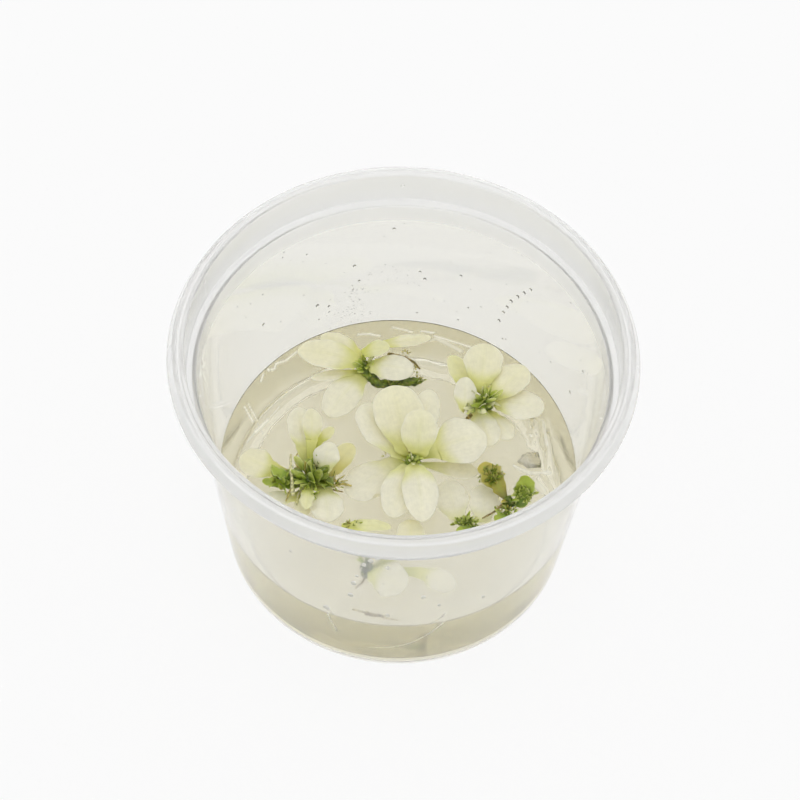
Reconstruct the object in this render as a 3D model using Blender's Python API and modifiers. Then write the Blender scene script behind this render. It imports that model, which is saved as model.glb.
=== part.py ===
"""Anubias plantlets in a tissue-culture cup.

A clear plastic cup holds a bed of nutrient gel. Seven small anubias plantlets stand in the gel, each a
rhizome with short-stalked, nearly white leaves; a few leaves have sunk into the top of the gel.
The cup stands on Z = 0 with its axis on Z, and its front looks along -Y. Lengths are in metres.
"""

import math
from typing import NamedTuple

import bmesh
import bpy
from mathutils import Matrix, Vector

MM = 0.001
GAP = 0.3 * MM

# Cup
CUP_HEIGHT = 71.0 * MM
RIM_RADIUS = 50.0 * MM
BASE_RADIUS = 40.0 * MM
WALL = 0.9 * MM
LEDGE_DEPTH = 8.6 * MM
LEDGE_RADIUS = 44.1 * MM
COLLAR_RADIUS = 46.2 * MM
LIP_TOP_RADIUS = 49.0 * MM
SKIRT_HEIGHT = 2.7 * MM
LIP_INNER_ROUND = 0.4 * MM
LIP_OUTER_ROUND = 0.6 * MM
BASE_CORNER = 2.2 * MM
FOOT_HEIGHT = 0.8 * MM
FOOT_WIDTH = 1.8 * MM
ROUND_SEGMENTS = 40

# Gel
GEL_LEVEL = 23.0 * MM
RECESS_DEPTH = 1.5 * MM
RECESS_MARGIN = 0.7 * MM
SOCKET_REACH = 2.6
SOCKET_SIDES = 12

# Leaves
LEAF_THICKNESS = 0.5 * MM
STALK_WIDTH = 0.9 * MM
BLADE_ROWS = (0.0, 0.25, 0.67, 1.0)
TIP_WIDTH_SHARE = 0.3
CAGE_EXTRA = 1.06  # the cage is this much wider than the smooth leaf
SMALL_LEAF_WIDTH = 3.0 * MM

WALL_TOP = CUP_HEIGHT - LEDGE_DEPTH
FLOOR_TOP = FOOT_HEIGHT + WALL


class Rhizome(NamedTuple):
    """A creeping or upright stem: points are (x, y, height over the gel, radius) in millimetres."""

    points: tuple
    crown: tuple  # (x, y, radius) where the leaves grow, in millimetres


class Leaf(NamedTuple):
    """A blade from base to tip, each (x, y, height over the gel), on a stalk that starts on its rhizome.

    Lengths are in millimetres. roll turns the blade about its own length in degrees, arch lifts its middle,
    cup is the rise of its edges as a share of the half width, ovate above 0 makes it widest near the base,
    and stalk is the height over the gel at which the stalk leaves the crown.
    """

    plant: str
    place: str
    base: tuple
    tip: tuple
    width: float
    stalk: float
    roll: float = 0.0
    arch: float = 0.4
    cup: float = 0.0
    ovate: float = 0.0
    sunk: bool = False


def upright(foot, top, height, radius):
    """An upright rhizome, rooted in the gel under foot and thickest half way up to its top."""
    middle = ((foot[0] + top[0]) / 2, (foot[1] + top[1]) / 2)
    points = (
        (*foot, -SOCKET_REACH, 0.35 * radius),
        (*foot, 0.0, 0.75 * radius),
        (*middle, height / 2, radius),
        (*top, height, 0.45 * radius),
    )
    return Rhizome(points, (*middle, 0.95 * radius))


RHIZOMES = {
    "back_left": Rhizome(
        points=(
            (-9.2, 25.4, 4.6, 0.9),
            (-9.0, 25.0, 3.0, 1.6),
            (-8.0, 23.4, 1.7, 1.3),
            (-5.5, 21.2, 1.4, 1.0),
            (-1.5, 21.6, 1.4, 0.9),
            (2.5, 22.4, 1.5, 1.1),
            (4.9, 22.8, 1.6, 0.9),
        ),
        crown=(-9.0, 25.0, 1.6),
    ),
    "back_right": upright((19.4, 16.6), (19.6, 16.6), 5.8, 2.0),
    "centre": upright((3.2, -1.1), (3.4, -0.9), 6.2, 1.8),
    "left": upright((-20.1, -7.2), (-20.3, -7.4), 5.2, 2.0),
    "right": upright((25.2, -9.6), (25.4, -9.8), 3.8, 1.5),
    "front": upright((-6.0, -28.2), (-5.6, -27.8), 4.8, 1.6),
    "front_right": upright((15.8, -15.5), (15.6, -15.3), 3.0, 1.4),
}

LEAVES = (
    Leaf("back_left", "left", (-11.3, 25.7, 3.8), (-25.1, 27.7, 4.4), 8.2, 3.8, arch=0.6, ovate=0.1),
    Leaf("back_left", "back", (-11.5, 29.4, 2.0), (-20.0, 34.3, 1.6), 5.5, 2.2, arch=0.3, ovate=0.1),
    Leaf("back_left", "low_left", (-12.6, 23.8, 1.9), (-21.6, 21.9, 1.5), 2.8, 1.9, arch=0.2),
    Leaf("back_left", "centre", (-9.4, 26.9, 5.6), (-3.4, 27.6, 7.4), 5.0, 5.0, roll=15.0, cup=0.1),
    Leaf("back_left", "far_right", (-4.8, 32.0, 2.6), (6.3, 34.7, 2.6), 3.6, 2.8, arch=0.3),
    Leaf("back_left", "right", (-7.0, 24.0, 5.0), (2.4, 22.6, 5.6), 7.6, 4.2, arch=0.8, cup=-0.08),
    Leaf("back_left", "front", (-10.2, 22.6, 1.6), (-16.7, 11.7, 0.9), 8.4, 1.8),
    Leaf("back_right", "back", (18.4, 20.2, 5.2), (18.8, 29.6, 8.2), 9.2, 4.6, arch=0.5, ovate=-0.1),
    Leaf("back_right", "far_right", (21.3, 17.8, 4.4), (28.6, 25.2, 6.0), 7.8, 3.6, arch=0.5, ovate=-0.1),
    Leaf("back_right", "right", (22.6, 16.8, 3.0), (33.3, 15.2, 3.4), 8.4, 3.2, arch=0.6, cup=-0.08),
    Leaf("back_right", "far_left", (15.6, 19.4, 3.0), (11.3, 29.0, 3.6), 6.0, 3.2, roll=-15.0),
    Leaf("back_right", "left", (14.8, 14.0, 4.4), (14.6, 21.0, 6.4), 5.2, 4.6, arch=0.2, cup=0.15, ovate=0.2),
    Leaf("back_right", "front", (18.4, 14.0, 2.2), (21.5, 5.7, 1.2), 7.0, 2.2, arch=0.3),
    Leaf("back_right", "low_right", (21.4, 14.2, 0.9), (26.1, 8.4, 0.7), 5.2, 0.9, arch=0.1),
    Leaf("centre", "left", (0.4, 1.7, 3.4), (-9.3, 13.0, 4.4), 9.8, 3.2, arch=0.6, cup=-0.05),
    Leaf("centre", "back", (1.8, 1.6, 5.0), (-2.3, 16.2, 8.4), 11.6, 4.4, arch=0.8, cup=-0.05, ovate=-0.2),
    Leaf("centre", "back_right", (4.0, 4.0, 2.8), (6.6, 18.6, 4.0), 6.4, 2.4, cup=-0.05, ovate=-0.1),
    Leaf("centre", "middle", (4.4, -0.4, 6.6), (5.0, 7.4, 12.2), 8.4, 5.6, arch=0.5, cup=0.3),
    Leaf("centre", "right", (8.8, 2.8, 3.6), (19.8, 6.6, 4.4), 12.6, 3.6, arch=0.8, cup=-0.05, ovate=0.1),
    Leaf("centre", "front_left", (2.2, -3.0, 3.4), (-0.8, -15.8, 2.8), 8.4, 3.4, arch=0.8, ovate=0.1),
    Leaf("centre", "front_right", (3.8, -3.6, 5.0), (6.0, -17.5, 4.6), 8.2, 4.8, arch=0.8, ovate=0.1),
    Leaf("centre", "sunk_left", (-2.1, -0.8, -0.7), (-11.1, -9.0, -0.9), 9.4, 2.0, arch=0.0, sunk=True),
    Leaf("centre", "sunk_right", (9.6, -0.2, -0.7), (18.5, -0.9, -0.9), 4.8, 2.2, arch=0.0, sunk=True),
    Leaf("left", "far_left", (-28.6, -5.0, 3.4), (-36.0, -2.4, 4.2), 7.8, 3.0, arch=0.6, cup=-0.05),
    Leaf("left", "back_left", (-21.8, 1.3, 3.4), (-24.0, 10.3, 6.0), 4.8, 2.6, arch=0.5, cup=0.1),
    Leaf("left", "back", (-20.4, 2.2, 5.4), (-20.3, 9.0, 8.0), 4.2, 4.4, roll=-25.0, cup=0.1),
    Leaf("left", "right", (-17.4, -3.4, 4.6), (-13.6, -0.6, 5.6), 6.0, 4.0, roll=10.0),
    Leaf("left", "far_right", (-14.0, -3.0, 1.6), (-10.9, 3.5, 2.4), 5.0, 1.4, arch=0.2, cup=0.15),
    Leaf("left", "small", (-18.3, 4.3, 2.0), (-15.5, 7.8, 2.4), 2.8, 1.8, arch=0.2),
    Leaf("left", "green_up", (-18.8, -3.4, 3.0), (-18.6, -0.2, 4.0), 2.2, 3.0, arch=0.0, cup=0.2),
    Leaf("left", "green_left", (-24.6, -8.0, 4.6), (-28.5, -6.6, 6.0), 2.6, 4.0, arch=0.2, cup=0.2),
    Leaf("left", "green_low", (-24.6, -8.9, 2.8), (-30.7, -7.9, 2.8), 2.6, 2.4, arch=0.2, cup=0.2),
    Leaf("left", "green_right", (-17.8, -7.6, 3.4), (-14.4, -8.3, 3.6), 3.0, 3.4, arch=0.2, cup=0.2),
    Leaf("left", "green_front", (-20.0, -10.2, 4.4), (-20.3, -15.6, 4.2), 3.2, 4.2, arch=0.2, cup=0.2),
    Leaf("left", "front", (-16.6, -9.8, 2.8), (-15.3, -17.6, 2.6), 7.6, 2.2, arch=0.5, cup=-0.08),
    Leaf("left", "front_left", (-23.6, -11.0, 1.4), (-30.6, -12.6, 1.8), 4.0, 1.6, arch=0.3),
    Leaf("left", "low", (-21.8, -10.6, 1.2), (-20.9, -15.8, 1.0), 3.8, 1.0, arch=0.2),
    Leaf("right", "cup", (23.2, -6.8, 2.6), (19.0, -0.9, 3.8), 5.6, 2.2, arch=0.3, cup=0.2),
    Leaf("right", "curl", (28.4, -9.4, 2.2), (28.9, -4.9, 6.0), 4.6, 1.8, arch=0.2, cup=0.4),
    Leaf("right", "low", (24.9, -13.3, 2.0), (22.3, -14.7, 1.8), 2.8, 1.8, arch=0.2, cup=0.2),
    Leaf("front", "narrow", (-11.0, -18.4, 2.2), (-0.9, -17.8, 1.8), 3.6, 2.4, roll=10.0, cup=0.1),
    Leaf("front", "back", (3.4, -22.0, 1.6), (3.2, -15.3, 1.4), 6.2, 1.6, arch=0.2),
    Leaf("front", "right", (-4.0, -29.6, 2.8), (2.8, -32.9, 2.6), 8.6, 3.0, cup=-0.05),
    Leaf("front", "far_right", (6.8, -28.2, 1.2), (13.6, -31.4, 1.0), 5.6, 1.4, arch=0.3),
    Leaf("front_right", "left", (13.8, -13.0, -0.7), (11.2, -3.9, -0.9), 6.2, 1.4, arch=0.0, sunk=True),
    Leaf("front_right", "right", (19.7, -13.0, -0.7), (19.5, -4.0, -0.9), 6.4, 1.4, arch=0.0, sunk=True),
    Leaf("front_right", "bud", (17.9, -18.0, 2.7), (13.6, -18.8, 2.9), 2.6, 1.8, arch=0.2, cup=0.3),
)

# Roots lie above the gel round the left plantlet: (x, y, height over the gel) in millimetres.
ROOTS = {
    "left_root_long": ((-23.4, -11.6, 3.2), (-24.2, -6.7, 6.6), (-24.6, -2.6, 4.8), (-24.8, 0.4, 1.2)),
    "left_root_right": ((-17.4, -8.6, 0.9), (-14.6, -7.2, 1.1), (-12.2, -6.4, 0.9), (-10.4, -6.8, 0.8)),
    "back_left_root": ((-3.8, 30.2, 1.2), (-0.2, 29.4, 1.6), (2.4, 27.8, 2.0), (4.0, 25.8, 2.0)),
}
ROOT_RADIUS = 0.4 * MM

# Broken lump of gel
LUMP_CENTRE = (31.0, 3.0)
LUMP_SIZE = (7.6, 5.2, 3.0)
LUMP_TURN = 18.0
LUMP_LIFT = 0.35

COLOURS = {
    "cup_plastic": ((0.90, 0.91, 0.90), 0.12, 0.9),
    "gel": ((0.90, 0.88, 0.80), 0.08, 0.95),
    "white_leaf": ((0.86, 0.85, 0.66), 0.45, 0.0),
    "green_leaf": ((0.36, 0.46, 0.06), 0.45, 0.0),
    "rhizome": ((0.22, 0.32, 0.04), 0.5, 0.0),
    "root": ((0.72, 0.68, 0.42), 0.6, 0.0),
}


def clear_scene():
    """Empty the scene, keeping the file open."""
    for obj in list(bpy.data.objects):
        bpy.data.objects.remove(obj, do_unlink=True)


def new_collection(name):
    """A collection linked under the scene."""
    collection = bpy.data.collections.new(name)
    bpy.context.scene.collection.children.link(collection)
    return collection


def make_material(name):
    """A Principled material from the colour table."""
    colour, roughness, transmission = COLOURS[name]
    material = bpy.data.materials.new(name)
    material.use_nodes = True
    shader = material.node_tree.nodes["Principled BSDF"]
    shader.inputs["Base Color"].default_value = (*colour, 1.0)
    shader.inputs["Roughness"].default_value = roughness
    shader.inputs["Metallic"].default_value = 0.0
    shader.inputs["Transmission Weight"].default_value = transmission
    return material


def add_object(name, data, collection, material=None):
    """Link a mesh or curve as an object, with its material."""
    obj = bpy.data.objects.new(name, data)
    collection.objects.link(obj)
    if material:
        data.materials.append(material)
    return obj


def mesh_from(bm, name):
    """Turn a bmesh into mesh data with faces pointing out."""
    bmesh.ops.recalc_face_normals(bm, faces=bm.faces)
    mesh = bpy.data.meshes.new(name)
    bm.to_mesh(mesh)
    bm.free()
    return mesh


def arc(centre, radius, start, end, steps):
    """Points (r, z) on an arc, angles in degrees from +r."""
    angles = [math.radians(start + (end - start) * i / steps) for i in range(steps + 1)]
    return [(centre[0] + radius * math.cos(a), centre[1] + radius * math.sin(a)) for a in angles]


def turned(name, profile, collection, material):
    """Turn an open (r, z) profile about Z; it runs down its outer side."""
    mesh = bpy.data.meshes.new(name)
    mesh.from_pydata([(r, 0.0, z) for r, z in profile], [(i, i + 1) for i in range(len(profile) - 1)], [])
    obj = add_object(name, mesh, collection, material)
    screw = obj.modifiers.new("Turn", "SCREW")
    screw.steps = ROUND_SEGMENTS
    screw.render_steps = ROUND_SEGMENTS
    screw.use_merge_vertices = True
    screw.merge_threshold = 0.01 * MM
    screw.use_smooth_shade = True
    return obj


def outer_radius(z):
    """Outside of the tapered wall at height z."""
    top = LEDGE_RADIUS + WALL
    return BASE_RADIUS + (top - BASE_RADIUS) * z / WALL_TOP


def cup_profile():
    """The cup's section: up the inside, over the lip, and down the outside to the foot ring."""
    inner_corner = BASE_CORNER - WALL
    inside_foot = outer_radius(FLOOR_TOP + inner_corner) - WALL - inner_corner
    outside_foot = outer_radius(BASE_CORNER) - BASE_CORNER
    lip = CUP_HEIGHT - WALL
    skirt_bottom = CUP_HEIGHT - SKIRT_HEIGHT
    inner = [(0.0, FLOOR_TOP)]
    inner += arc((inside_foot, FLOOR_TOP + inner_corner), inner_corner, -90.0, 0.0, 3)
    inner += [
        (LEDGE_RADIUS, WALL_TOP),
        (LEDGE_RADIUS + GAP, WALL_TOP + GAP),
        (COLLAR_RADIUS, WALL_TOP + 0.4 * MM),
    ]
    inner += arc((COLLAR_RADIUS + LIP_INNER_ROUND, CUP_HEIGHT - LIP_INNER_ROUND), LIP_INNER_ROUND, 180, 90, 2)
    outer = arc((LIP_TOP_RADIUS - LIP_OUTER_ROUND, CUP_HEIGHT - LIP_OUTER_ROUND), LIP_OUTER_ROUND, 90, 20, 2)
    outer += [
        (RIM_RADIUS, skirt_bottom + 0.3 * MM),
        (RIM_RADIUS - 0.2 * MM, skirt_bottom),
        (RIM_RADIUS - WALL, skirt_bottom),
        (LIP_TOP_RADIUS - WALL, lip),
        (COLLAR_RADIUS + WALL, lip),
        (COLLAR_RADIUS + WALL, WALL_TOP - 0.2 * MM),
        (COLLAR_RADIUS + 0.5 * MM, WALL_TOP - 0.6 * MM),
        (LEDGE_RADIUS + WALL, WALL_TOP - 0.6 * MM),
    ]
    outer += arc((outside_foot, BASE_CORNER), BASE_CORNER, 0.0, -90.0, 3)
    outer += [
        (outside_foot - FOOT_WIDTH, 0.0),
        (outside_foot - FOOT_WIDTH - 0.6 * MM, FOOT_HEIGHT),
        (0.0, FOOT_HEIGHT),
    ]
    return inner + outer


def gel_radius(z):
    """The gel keeps a small gap to the inside of the wall."""
    return outer_radius(z) - WALL - GAP


def gel_profile():
    """The gel bed's section, down its outside."""
    corner = BASE_CORNER - WALL
    bottom = FLOOR_TOP + GAP
    low = gel_radius(bottom + corner) - corner
    side = arc((low, bottom + corner), corner, 0.0, -90.0, 2)
    return [(0.0, GEL_LEVEL), (gel_radius(GEL_LEVEL), GEL_LEVEL)] + side + [(0.0, bottom)]


def over_gel(point):
    """A point given in millimetres, its height counted from the top of the gel."""
    return Vector((point[0] * MM, point[1] * MM, GEL_LEVEL + point[2] * MM))


def blade_axes(leaf):
    """Direction along the blade, across it and out of its face, with its length."""
    base, tip = over_gel(leaf.base), over_gel(leaf.tip)
    along = (tip - base).normalized()
    face = (Vector((0, 0, 1)) - along * along.z).normalized()
    turn = Matrix.Rotation(math.radians(leaf.roll), 3, along)
    face = turn @ face
    return along, along.cross(face), face, (tip - base).length


def half_width(leaf, share):
    """Half of the blade's width at a share of its length: an ellipse leaned by ovate, with a blunt tip."""
    widest = CAGE_EXTRA * leaf.width * MM / 2
    if share >= 1.0:
        return widest * TIP_WIDTH_SHARE
    ellipse = math.sqrt(4 * share * (1 - share)) * (1 + 2 * leaf.ovate * (0.5 - share))
    return max(STALK_WIDTH / 2, widest * ellipse)


def stalk_start(leaf):
    """Where the stalk leaves its crown, a small gap off its side, and the direction across it there."""
    x, y, radius = RHIZOMES[leaf.plant].crown
    centre = over_gel((x, y, leaf.stalk))
    away = (over_gel((leaf.base[0], leaf.base[1], leaf.stalk)) - centre).normalized()
    return centre + away * (radius * MM + GAP), away.cross(Vector((0, 0, 1)))


def make_leaf(leaf, collection, material):
    """A leaf: a coarse cage of stalk and blade, smoothed and given its thickness."""
    along, across, face, length = blade_axes(leaf)
    start, start_across = stalk_start(leaf)
    base = over_gel(leaf.base)
    rows = len(BLADE_ROWS) + 1
    bm = bmesh.new()
    bmesh.ops.create_grid(bm, x_segments=rows - 1, y_segments=2, size=1.0)
    for vert in bm.verts:
        row = round((vert.co.x + 1) / 2 * (rows - 1))
        side = vert.co.y
        if row == 0:
            vert.co = start + start_across * (side * STALK_WIDTH / 2)
            continue
        share = BLADE_ROWS[row - 1]
        half = half_width(leaf, share)
        lift = leaf.arch * MM * 4 * share * (1 - share) + leaf.cup * half * side * side
        vert.co = base + along * (length * share) + across * (side * half) + face * lift
    mesh = mesh_from(bm, f"{leaf.plant}_leaf_{leaf.place}")
    obj = add_object(mesh.name, mesh, collection, material)
    if leaf.width * MM > SMALL_LEAF_WIDTH:
        smooth = obj.modifiers.new("Smooth", "SUBSURF")
        smooth.levels = 1
        smooth.render_levels = 1
    thick = obj.modifiers.new("Thickness", "SOLIDIFY")
    thick.thickness = LEAF_THICKNESS
    thick.offset = 0.0
    mesh.shade_smooth()
    return obj


def make_tube(name, points, collection, material, radius=None):
    """A stem or root: a poly curve through the points, each with its own radius where it has one."""
    curve = bpy.data.curves.new(name, "CURVE")
    curve.dimensions = "3D"
    curve.bevel_depth = radius or MM
    curve.bevel_resolution = 2
    curve.use_fill_caps = True
    spline = curve.splines.new("POLY")
    spline.points.add(len(points) - 1)
    for point, place in zip(spline.points, points):
        point.co = (*over_gel(place), 1.0)
        point.radius = 1.0 if radius else place[3]
    return add_object(name, curve, collection, material)


def make_cutter(name, bm, collection, target):
    """A hidden cutter taken out of the target."""
    cutter = add_object(name, mesh_from(bm, name), collection)
    cutter.hide_render = True
    cutter.display_type = "WIRE"
    cut = target.modifiers.new(name, "BOOLEAN")
    cut.operation = "DIFFERENCE"
    cut.solver = "EXACT"
    cut.object = cutter
    return cutter


def cut_socket(plant, rhizome, collection, gel):
    """The hole in the gel that an upright rhizome stands in."""
    foot = rhizome.points[0]
    if foot[2] > 0:
        return
    widest = max(point[3] for point in rhizome.points[:2])
    bm = bmesh.new()
    bmesh.ops.create_cone(
        bm,
        cap_ends=True,
        segments=SOCKET_SIDES,
        radius1=widest * MM + GAP,
        radius2=widest * MM + 3 * GAP,
        depth=2 * (SOCKET_REACH * MM + 2 * GAP),
    )
    bmesh.ops.translate(bm, verts=bm.verts, vec=over_gel((foot[0], foot[1], 0)))
    make_cutter(f"socket_{plant}", bm, collection, gel)


def cut_recess(leaf, collection, gel):
    """The shallow oval hollow in the gel that a sunk leaf lies in, open towards its stalk."""
    along, _, _, length = blade_axes(leaf)
    flat = Vector((along.x, along.y, 0)).normalized()
    side = Vector((0, 0, 1)).cross(flat)
    reach = length / 2 + 2.5 * RECESS_MARGIN
    middle = over_gel((leaf.base[0], leaf.base[1], 0)) + flat * (length / 2 - RECESS_MARGIN)
    bm = bmesh.new()
    bmesh.ops.create_cone(bm, cap_ends=True, segments=20, radius1=1.0, radius2=1.0, depth=2 * RECESS_DEPTH)
    place = Matrix.Identity(4)
    place.col[0].xyz = flat * reach
    place.col[1].xyz = side * (leaf.width * MM / 2 + RECESS_MARGIN)
    place.col[3].xyz = middle
    bmesh.ops.transform(bm, matrix=place, verts=bm.verts)
    make_cutter(f"recess_{leaf.plant}_{leaf.place}", bm, collection, gel)


def make_lump(collection, material):
    """The broken lump of gel: a low faceted block with a flat underside."""
    bm = bmesh.new()
    bmesh.ops.create_icosphere(bm, subdivisions=1, radius=1.0)
    for vert in bm.verts:
        vert.co.z = max(vert.co.z, 0.0)
        vert.co.x *= LUMP_SIZE[0] / 2 * MM * (1.0 - 0.25 * vert.co.z)
        vert.co.y *= LUMP_SIZE[1] / 2 * MM
        vert.co.z *= LUMP_SIZE[2] * MM
    bmesh.ops.dissolve_limit(bm, angle_limit=math.radians(1), verts=bm.verts, edges=bm.edges)
    bmesh.ops.rotate(bm, verts=bm.verts, matrix=Matrix.Rotation(math.radians(LUMP_TURN), 3, "Z"))
    bmesh.ops.translate(bm, verts=bm.verts, vec=over_gel((*LUMP_CENTRE, LUMP_LIFT)))
    return add_object("gel_lump", mesh_from(bm, "gel_lump"), collection, material)


def main():
    clear_scene()
    parts = new_collection("anubias_culture_cup")
    cutters = new_collection("cutters")
    materials = {name: make_material(name) for name in COLOURS}

    turned("cup", cup_profile(), parts, materials["cup_plastic"])
    gel = turned("gel", gel_profile(), parts, materials["gel"])
    make_lump(parts, materials["gel"])

    for plant, rhizome in RHIZOMES.items():
        make_tube(f"{plant}_rhizome", rhizome.points, parts, materials["rhizome"])
        cut_socket(plant, rhizome, cutters, gel)
    for name, points in ROOTS.items():
        make_tube(name, points, parts, materials["root"], ROOT_RADIUS)
    for leaf in LEAVES:
        green = leaf.place.startswith("green") or leaf.plant == "right" or leaf.place == "bud"
        make_leaf(leaf, parts, materials["green_leaf" if green else "white_leaf"])
        if leaf.sunk:
            cut_recess(leaf, cutters, gel)


main()
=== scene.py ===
"""Looks of the anubias culture cup: clear cup, nutrient gel and white-leaved plantlets, in the CAD's own frame."""
import logging
import math
from dataclasses import dataclass
from enum import Enum

import bpy
import numpy as np
from mathutils import Matrix, Vector
from numpy.typing import NDArray


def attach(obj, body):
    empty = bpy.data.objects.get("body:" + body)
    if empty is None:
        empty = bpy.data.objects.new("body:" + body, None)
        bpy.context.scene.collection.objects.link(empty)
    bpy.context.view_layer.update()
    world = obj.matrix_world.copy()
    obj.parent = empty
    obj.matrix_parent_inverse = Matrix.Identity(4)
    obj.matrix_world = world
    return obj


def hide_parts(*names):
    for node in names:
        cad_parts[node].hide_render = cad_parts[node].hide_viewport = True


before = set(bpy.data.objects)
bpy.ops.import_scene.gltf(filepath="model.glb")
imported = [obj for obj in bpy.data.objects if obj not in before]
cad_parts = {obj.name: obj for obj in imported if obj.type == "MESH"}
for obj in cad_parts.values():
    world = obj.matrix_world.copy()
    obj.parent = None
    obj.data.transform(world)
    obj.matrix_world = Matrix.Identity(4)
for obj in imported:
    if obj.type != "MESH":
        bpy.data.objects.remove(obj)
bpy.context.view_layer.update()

MM = 0.001
GEL_LEVEL = 23.0
PLASTIC_IOR, GEL_IOR, WATER_IOR = 1.49, 1.34, 1.33
GOLDEN_ANGLE = 2.39996
# Rows and columns of the grids: a leaf's stalk and blade share their columns.
STALK_ROWS, BLADE_ROWS, LEAF_COLUMNS = 14, 44, 36
LEAFLET_GRID, STEM_GRID, ROOT_GRID, DROP_GRID, LUMP_GRID = (11, 10), (60, 32), (40, 12), (7, 14), (40, 96)
LOG = logging.getLogger("culture_cup")

Array = NDArray[np.float64]
Colour = tuple[float, float, float]
Point = tuple[float, float, float]
Pair = tuple[float, float]
Socket = bpy.types.NodeSocket
Material = bpy.types.Material


def linear(red: int, green: int, blue: int) -> Colour:
    """Turn a screen colour, channels from 0 to 255, into the linear colour that a shader takes."""
    return tuple(((c / 255 + 0.055) / 1.055) ** 2.4 if c > 10 else c / 3294.6 for c in (red, green, blue))


def smooth_between(low: float, high: float, value: Array) -> Array:
    """Rise smoothly from 0 where a value is low to 1 where it is high: 3t squared less 2t cubed."""
    t = np.clip((value - low) / (high - low), 0.0, 1.0)
    return t * t * (3.0 - 2.0 * t)


def unit(vectors: Array) -> Array:
    """Scale vectors, whose last axis is x, y, z, to length one."""
    return vectors / np.maximum(np.linalg.norm(vectors, axis=-1, keepdims=True), 1e-12)


def round_row(columns: int) -> Array:
    """Angles of columns spread evenly round a section, as one row."""
    return np.linspace(0.0, 2.0 * np.pi, columns, endpoint=False)[None, :]


def lift(point: Point) -> Array:
    """A point given by its height over the gel, as a place in millimetres."""
    return np.array([point[0], point[1], GEL_LEVEL + point[2]])


def blend(first: Array, second: Array, share: Array) -> Array:
    """Go from a first colour to a second by a share at each point."""
    return first * (1 - share[..., None]) + second * share[..., None]


def wavy(luck: np.random.Generator, q: Array, slow: float, fast: float, lean: Array) -> Array:
    """A sine with a random pace from slow to fast and a random start: sin(2 pi pace q + start + lean)."""
    return np.sin(2 * np.pi * luck.uniform(slow, fast) * q + luck.uniform(0, 6) + lean)


def carried(line: Array, side: Array, out: Array, across: Array, rise: Array) -> Array:
    """Carry a section along a line: line + side times across + out times rise.

    Args:
        line, side, out: the middle line and the section's directions, for each row or one for all.
        across, rise: (rows, columns) the section.

    Returns:
        (rows, columns, 3) points.
    """
    return line[..., None, :] + side[..., None, :] * across[..., None] + out[..., None, :] * rise[..., None]


def runs(knots: Array) -> Array:
    """Length of the line through knots, up to each of them."""
    return np.concatenate([[0.0], np.cumsum(np.linalg.norm(np.diff(knots, axis=0), axis=1))])


def read_between(where: Array, run: Array, knots: Array) -> Array:
    """Values of knots, read at places between their runs."""
    return np.stack([np.interp(where, run, column) for column in knots.T], 1)


def tube(line: Array, aside: Point, radius: Array, angle: Array) -> Array:
    """Carry a round section along a line: line + side times radius cos a + out times radius sin a.

    Args:
        line: points of the middle line.
        aside: a direction that the line never takes; the section's first side is square to it.
        radius, angle: the section, as a column and a row or as a grid.

    Returns:
        (rows, columns, 3) points.
    """
    ahead = unit(np.gradient(line, axis=0))
    side = unit(np.cross(ahead, aside))
    return carried(line, side, np.cross(ahead, side), radius * np.cos(angle), radius * np.sin(angle))


@dataclass
class Surface:
    """A closed skin on a grid: rows run along the piece, columns run round it, and each end closes on a pole.

    Attributes:
        points: (rows, columns, 3) in millimetres.
        tint: linear colour of each point, or None for white.
        across: second axis of the piece's own map at each point, or None for its column.
        bands: number of the finish between each two rows, or None for the first.
    """

    points: Array
    tint: Array | None = None
    across: Array | None = None
    bands: NDArray[np.int64] | None = None

    def arrays(self) -> tuple[Array, Array, Array, list[list[int]], Array]:
        """Lay out the mesh, its faces turned so that the volume under them is above 0.

        Returns:
            Vertices, their map places, their colours, faces, and each face's finish number.
        """
        rows, columns = self.points.shape[:2]
        count = rows * columns
        vertices = np.vstack([self.points.reshape(-1, 3), self.points[0].mean(0), self.points[-1].mean(0)])
        along = np.repeat(np.linspace(0.0, 1.0, rows), columns)
        across = np.tile(np.arange(columns) / columns, rows) if self.across is None else self.across.reshape(-1)
        places = np.vstack([np.stack([along, across], 1), [[0.0, 0.5], [1.0, 0.5]]])
        tint = np.ones(self.points.shape) if self.tint is None else self.tint
        colours = np.vstack([tint.reshape(-1, 3), tint[0].mean(0), tint[-1].mean(0)])
        number = np.arange(count).reshape(rows, columns)
        after = np.roll(number, -1, axis=1)
        quads = np.stack([number[:-1], after[:-1], after[1:], number[1:]], -1).reshape(-1, 4)
        start = np.stack([np.full(columns, count), after[0], number[0]], -1)
        end = np.stack([np.full(columns, count + 1), number[-1], after[-1]], -1)
        fans = np.vstack([start, end])
        corners = vertices[np.vstack([quads[:, [0, 1, 2]], quads[:, [0, 2, 3]], fans])]
        volume = np.einsum("ij,ij->i", corners[:, 0], np.cross(corners[:, 1], corners[:, 2])).sum()
        step = 1 if volume > 0 else -1
        bands = np.zeros(rows - 1) if self.bands is None else self.bands
        finish = np.concatenate([np.repeat(bands, columns), np.zeros(2 * columns)])
        return vertices, places, colours, quads[:, ::step].tolist() + fans[:, ::step].tolist(), finish


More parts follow.
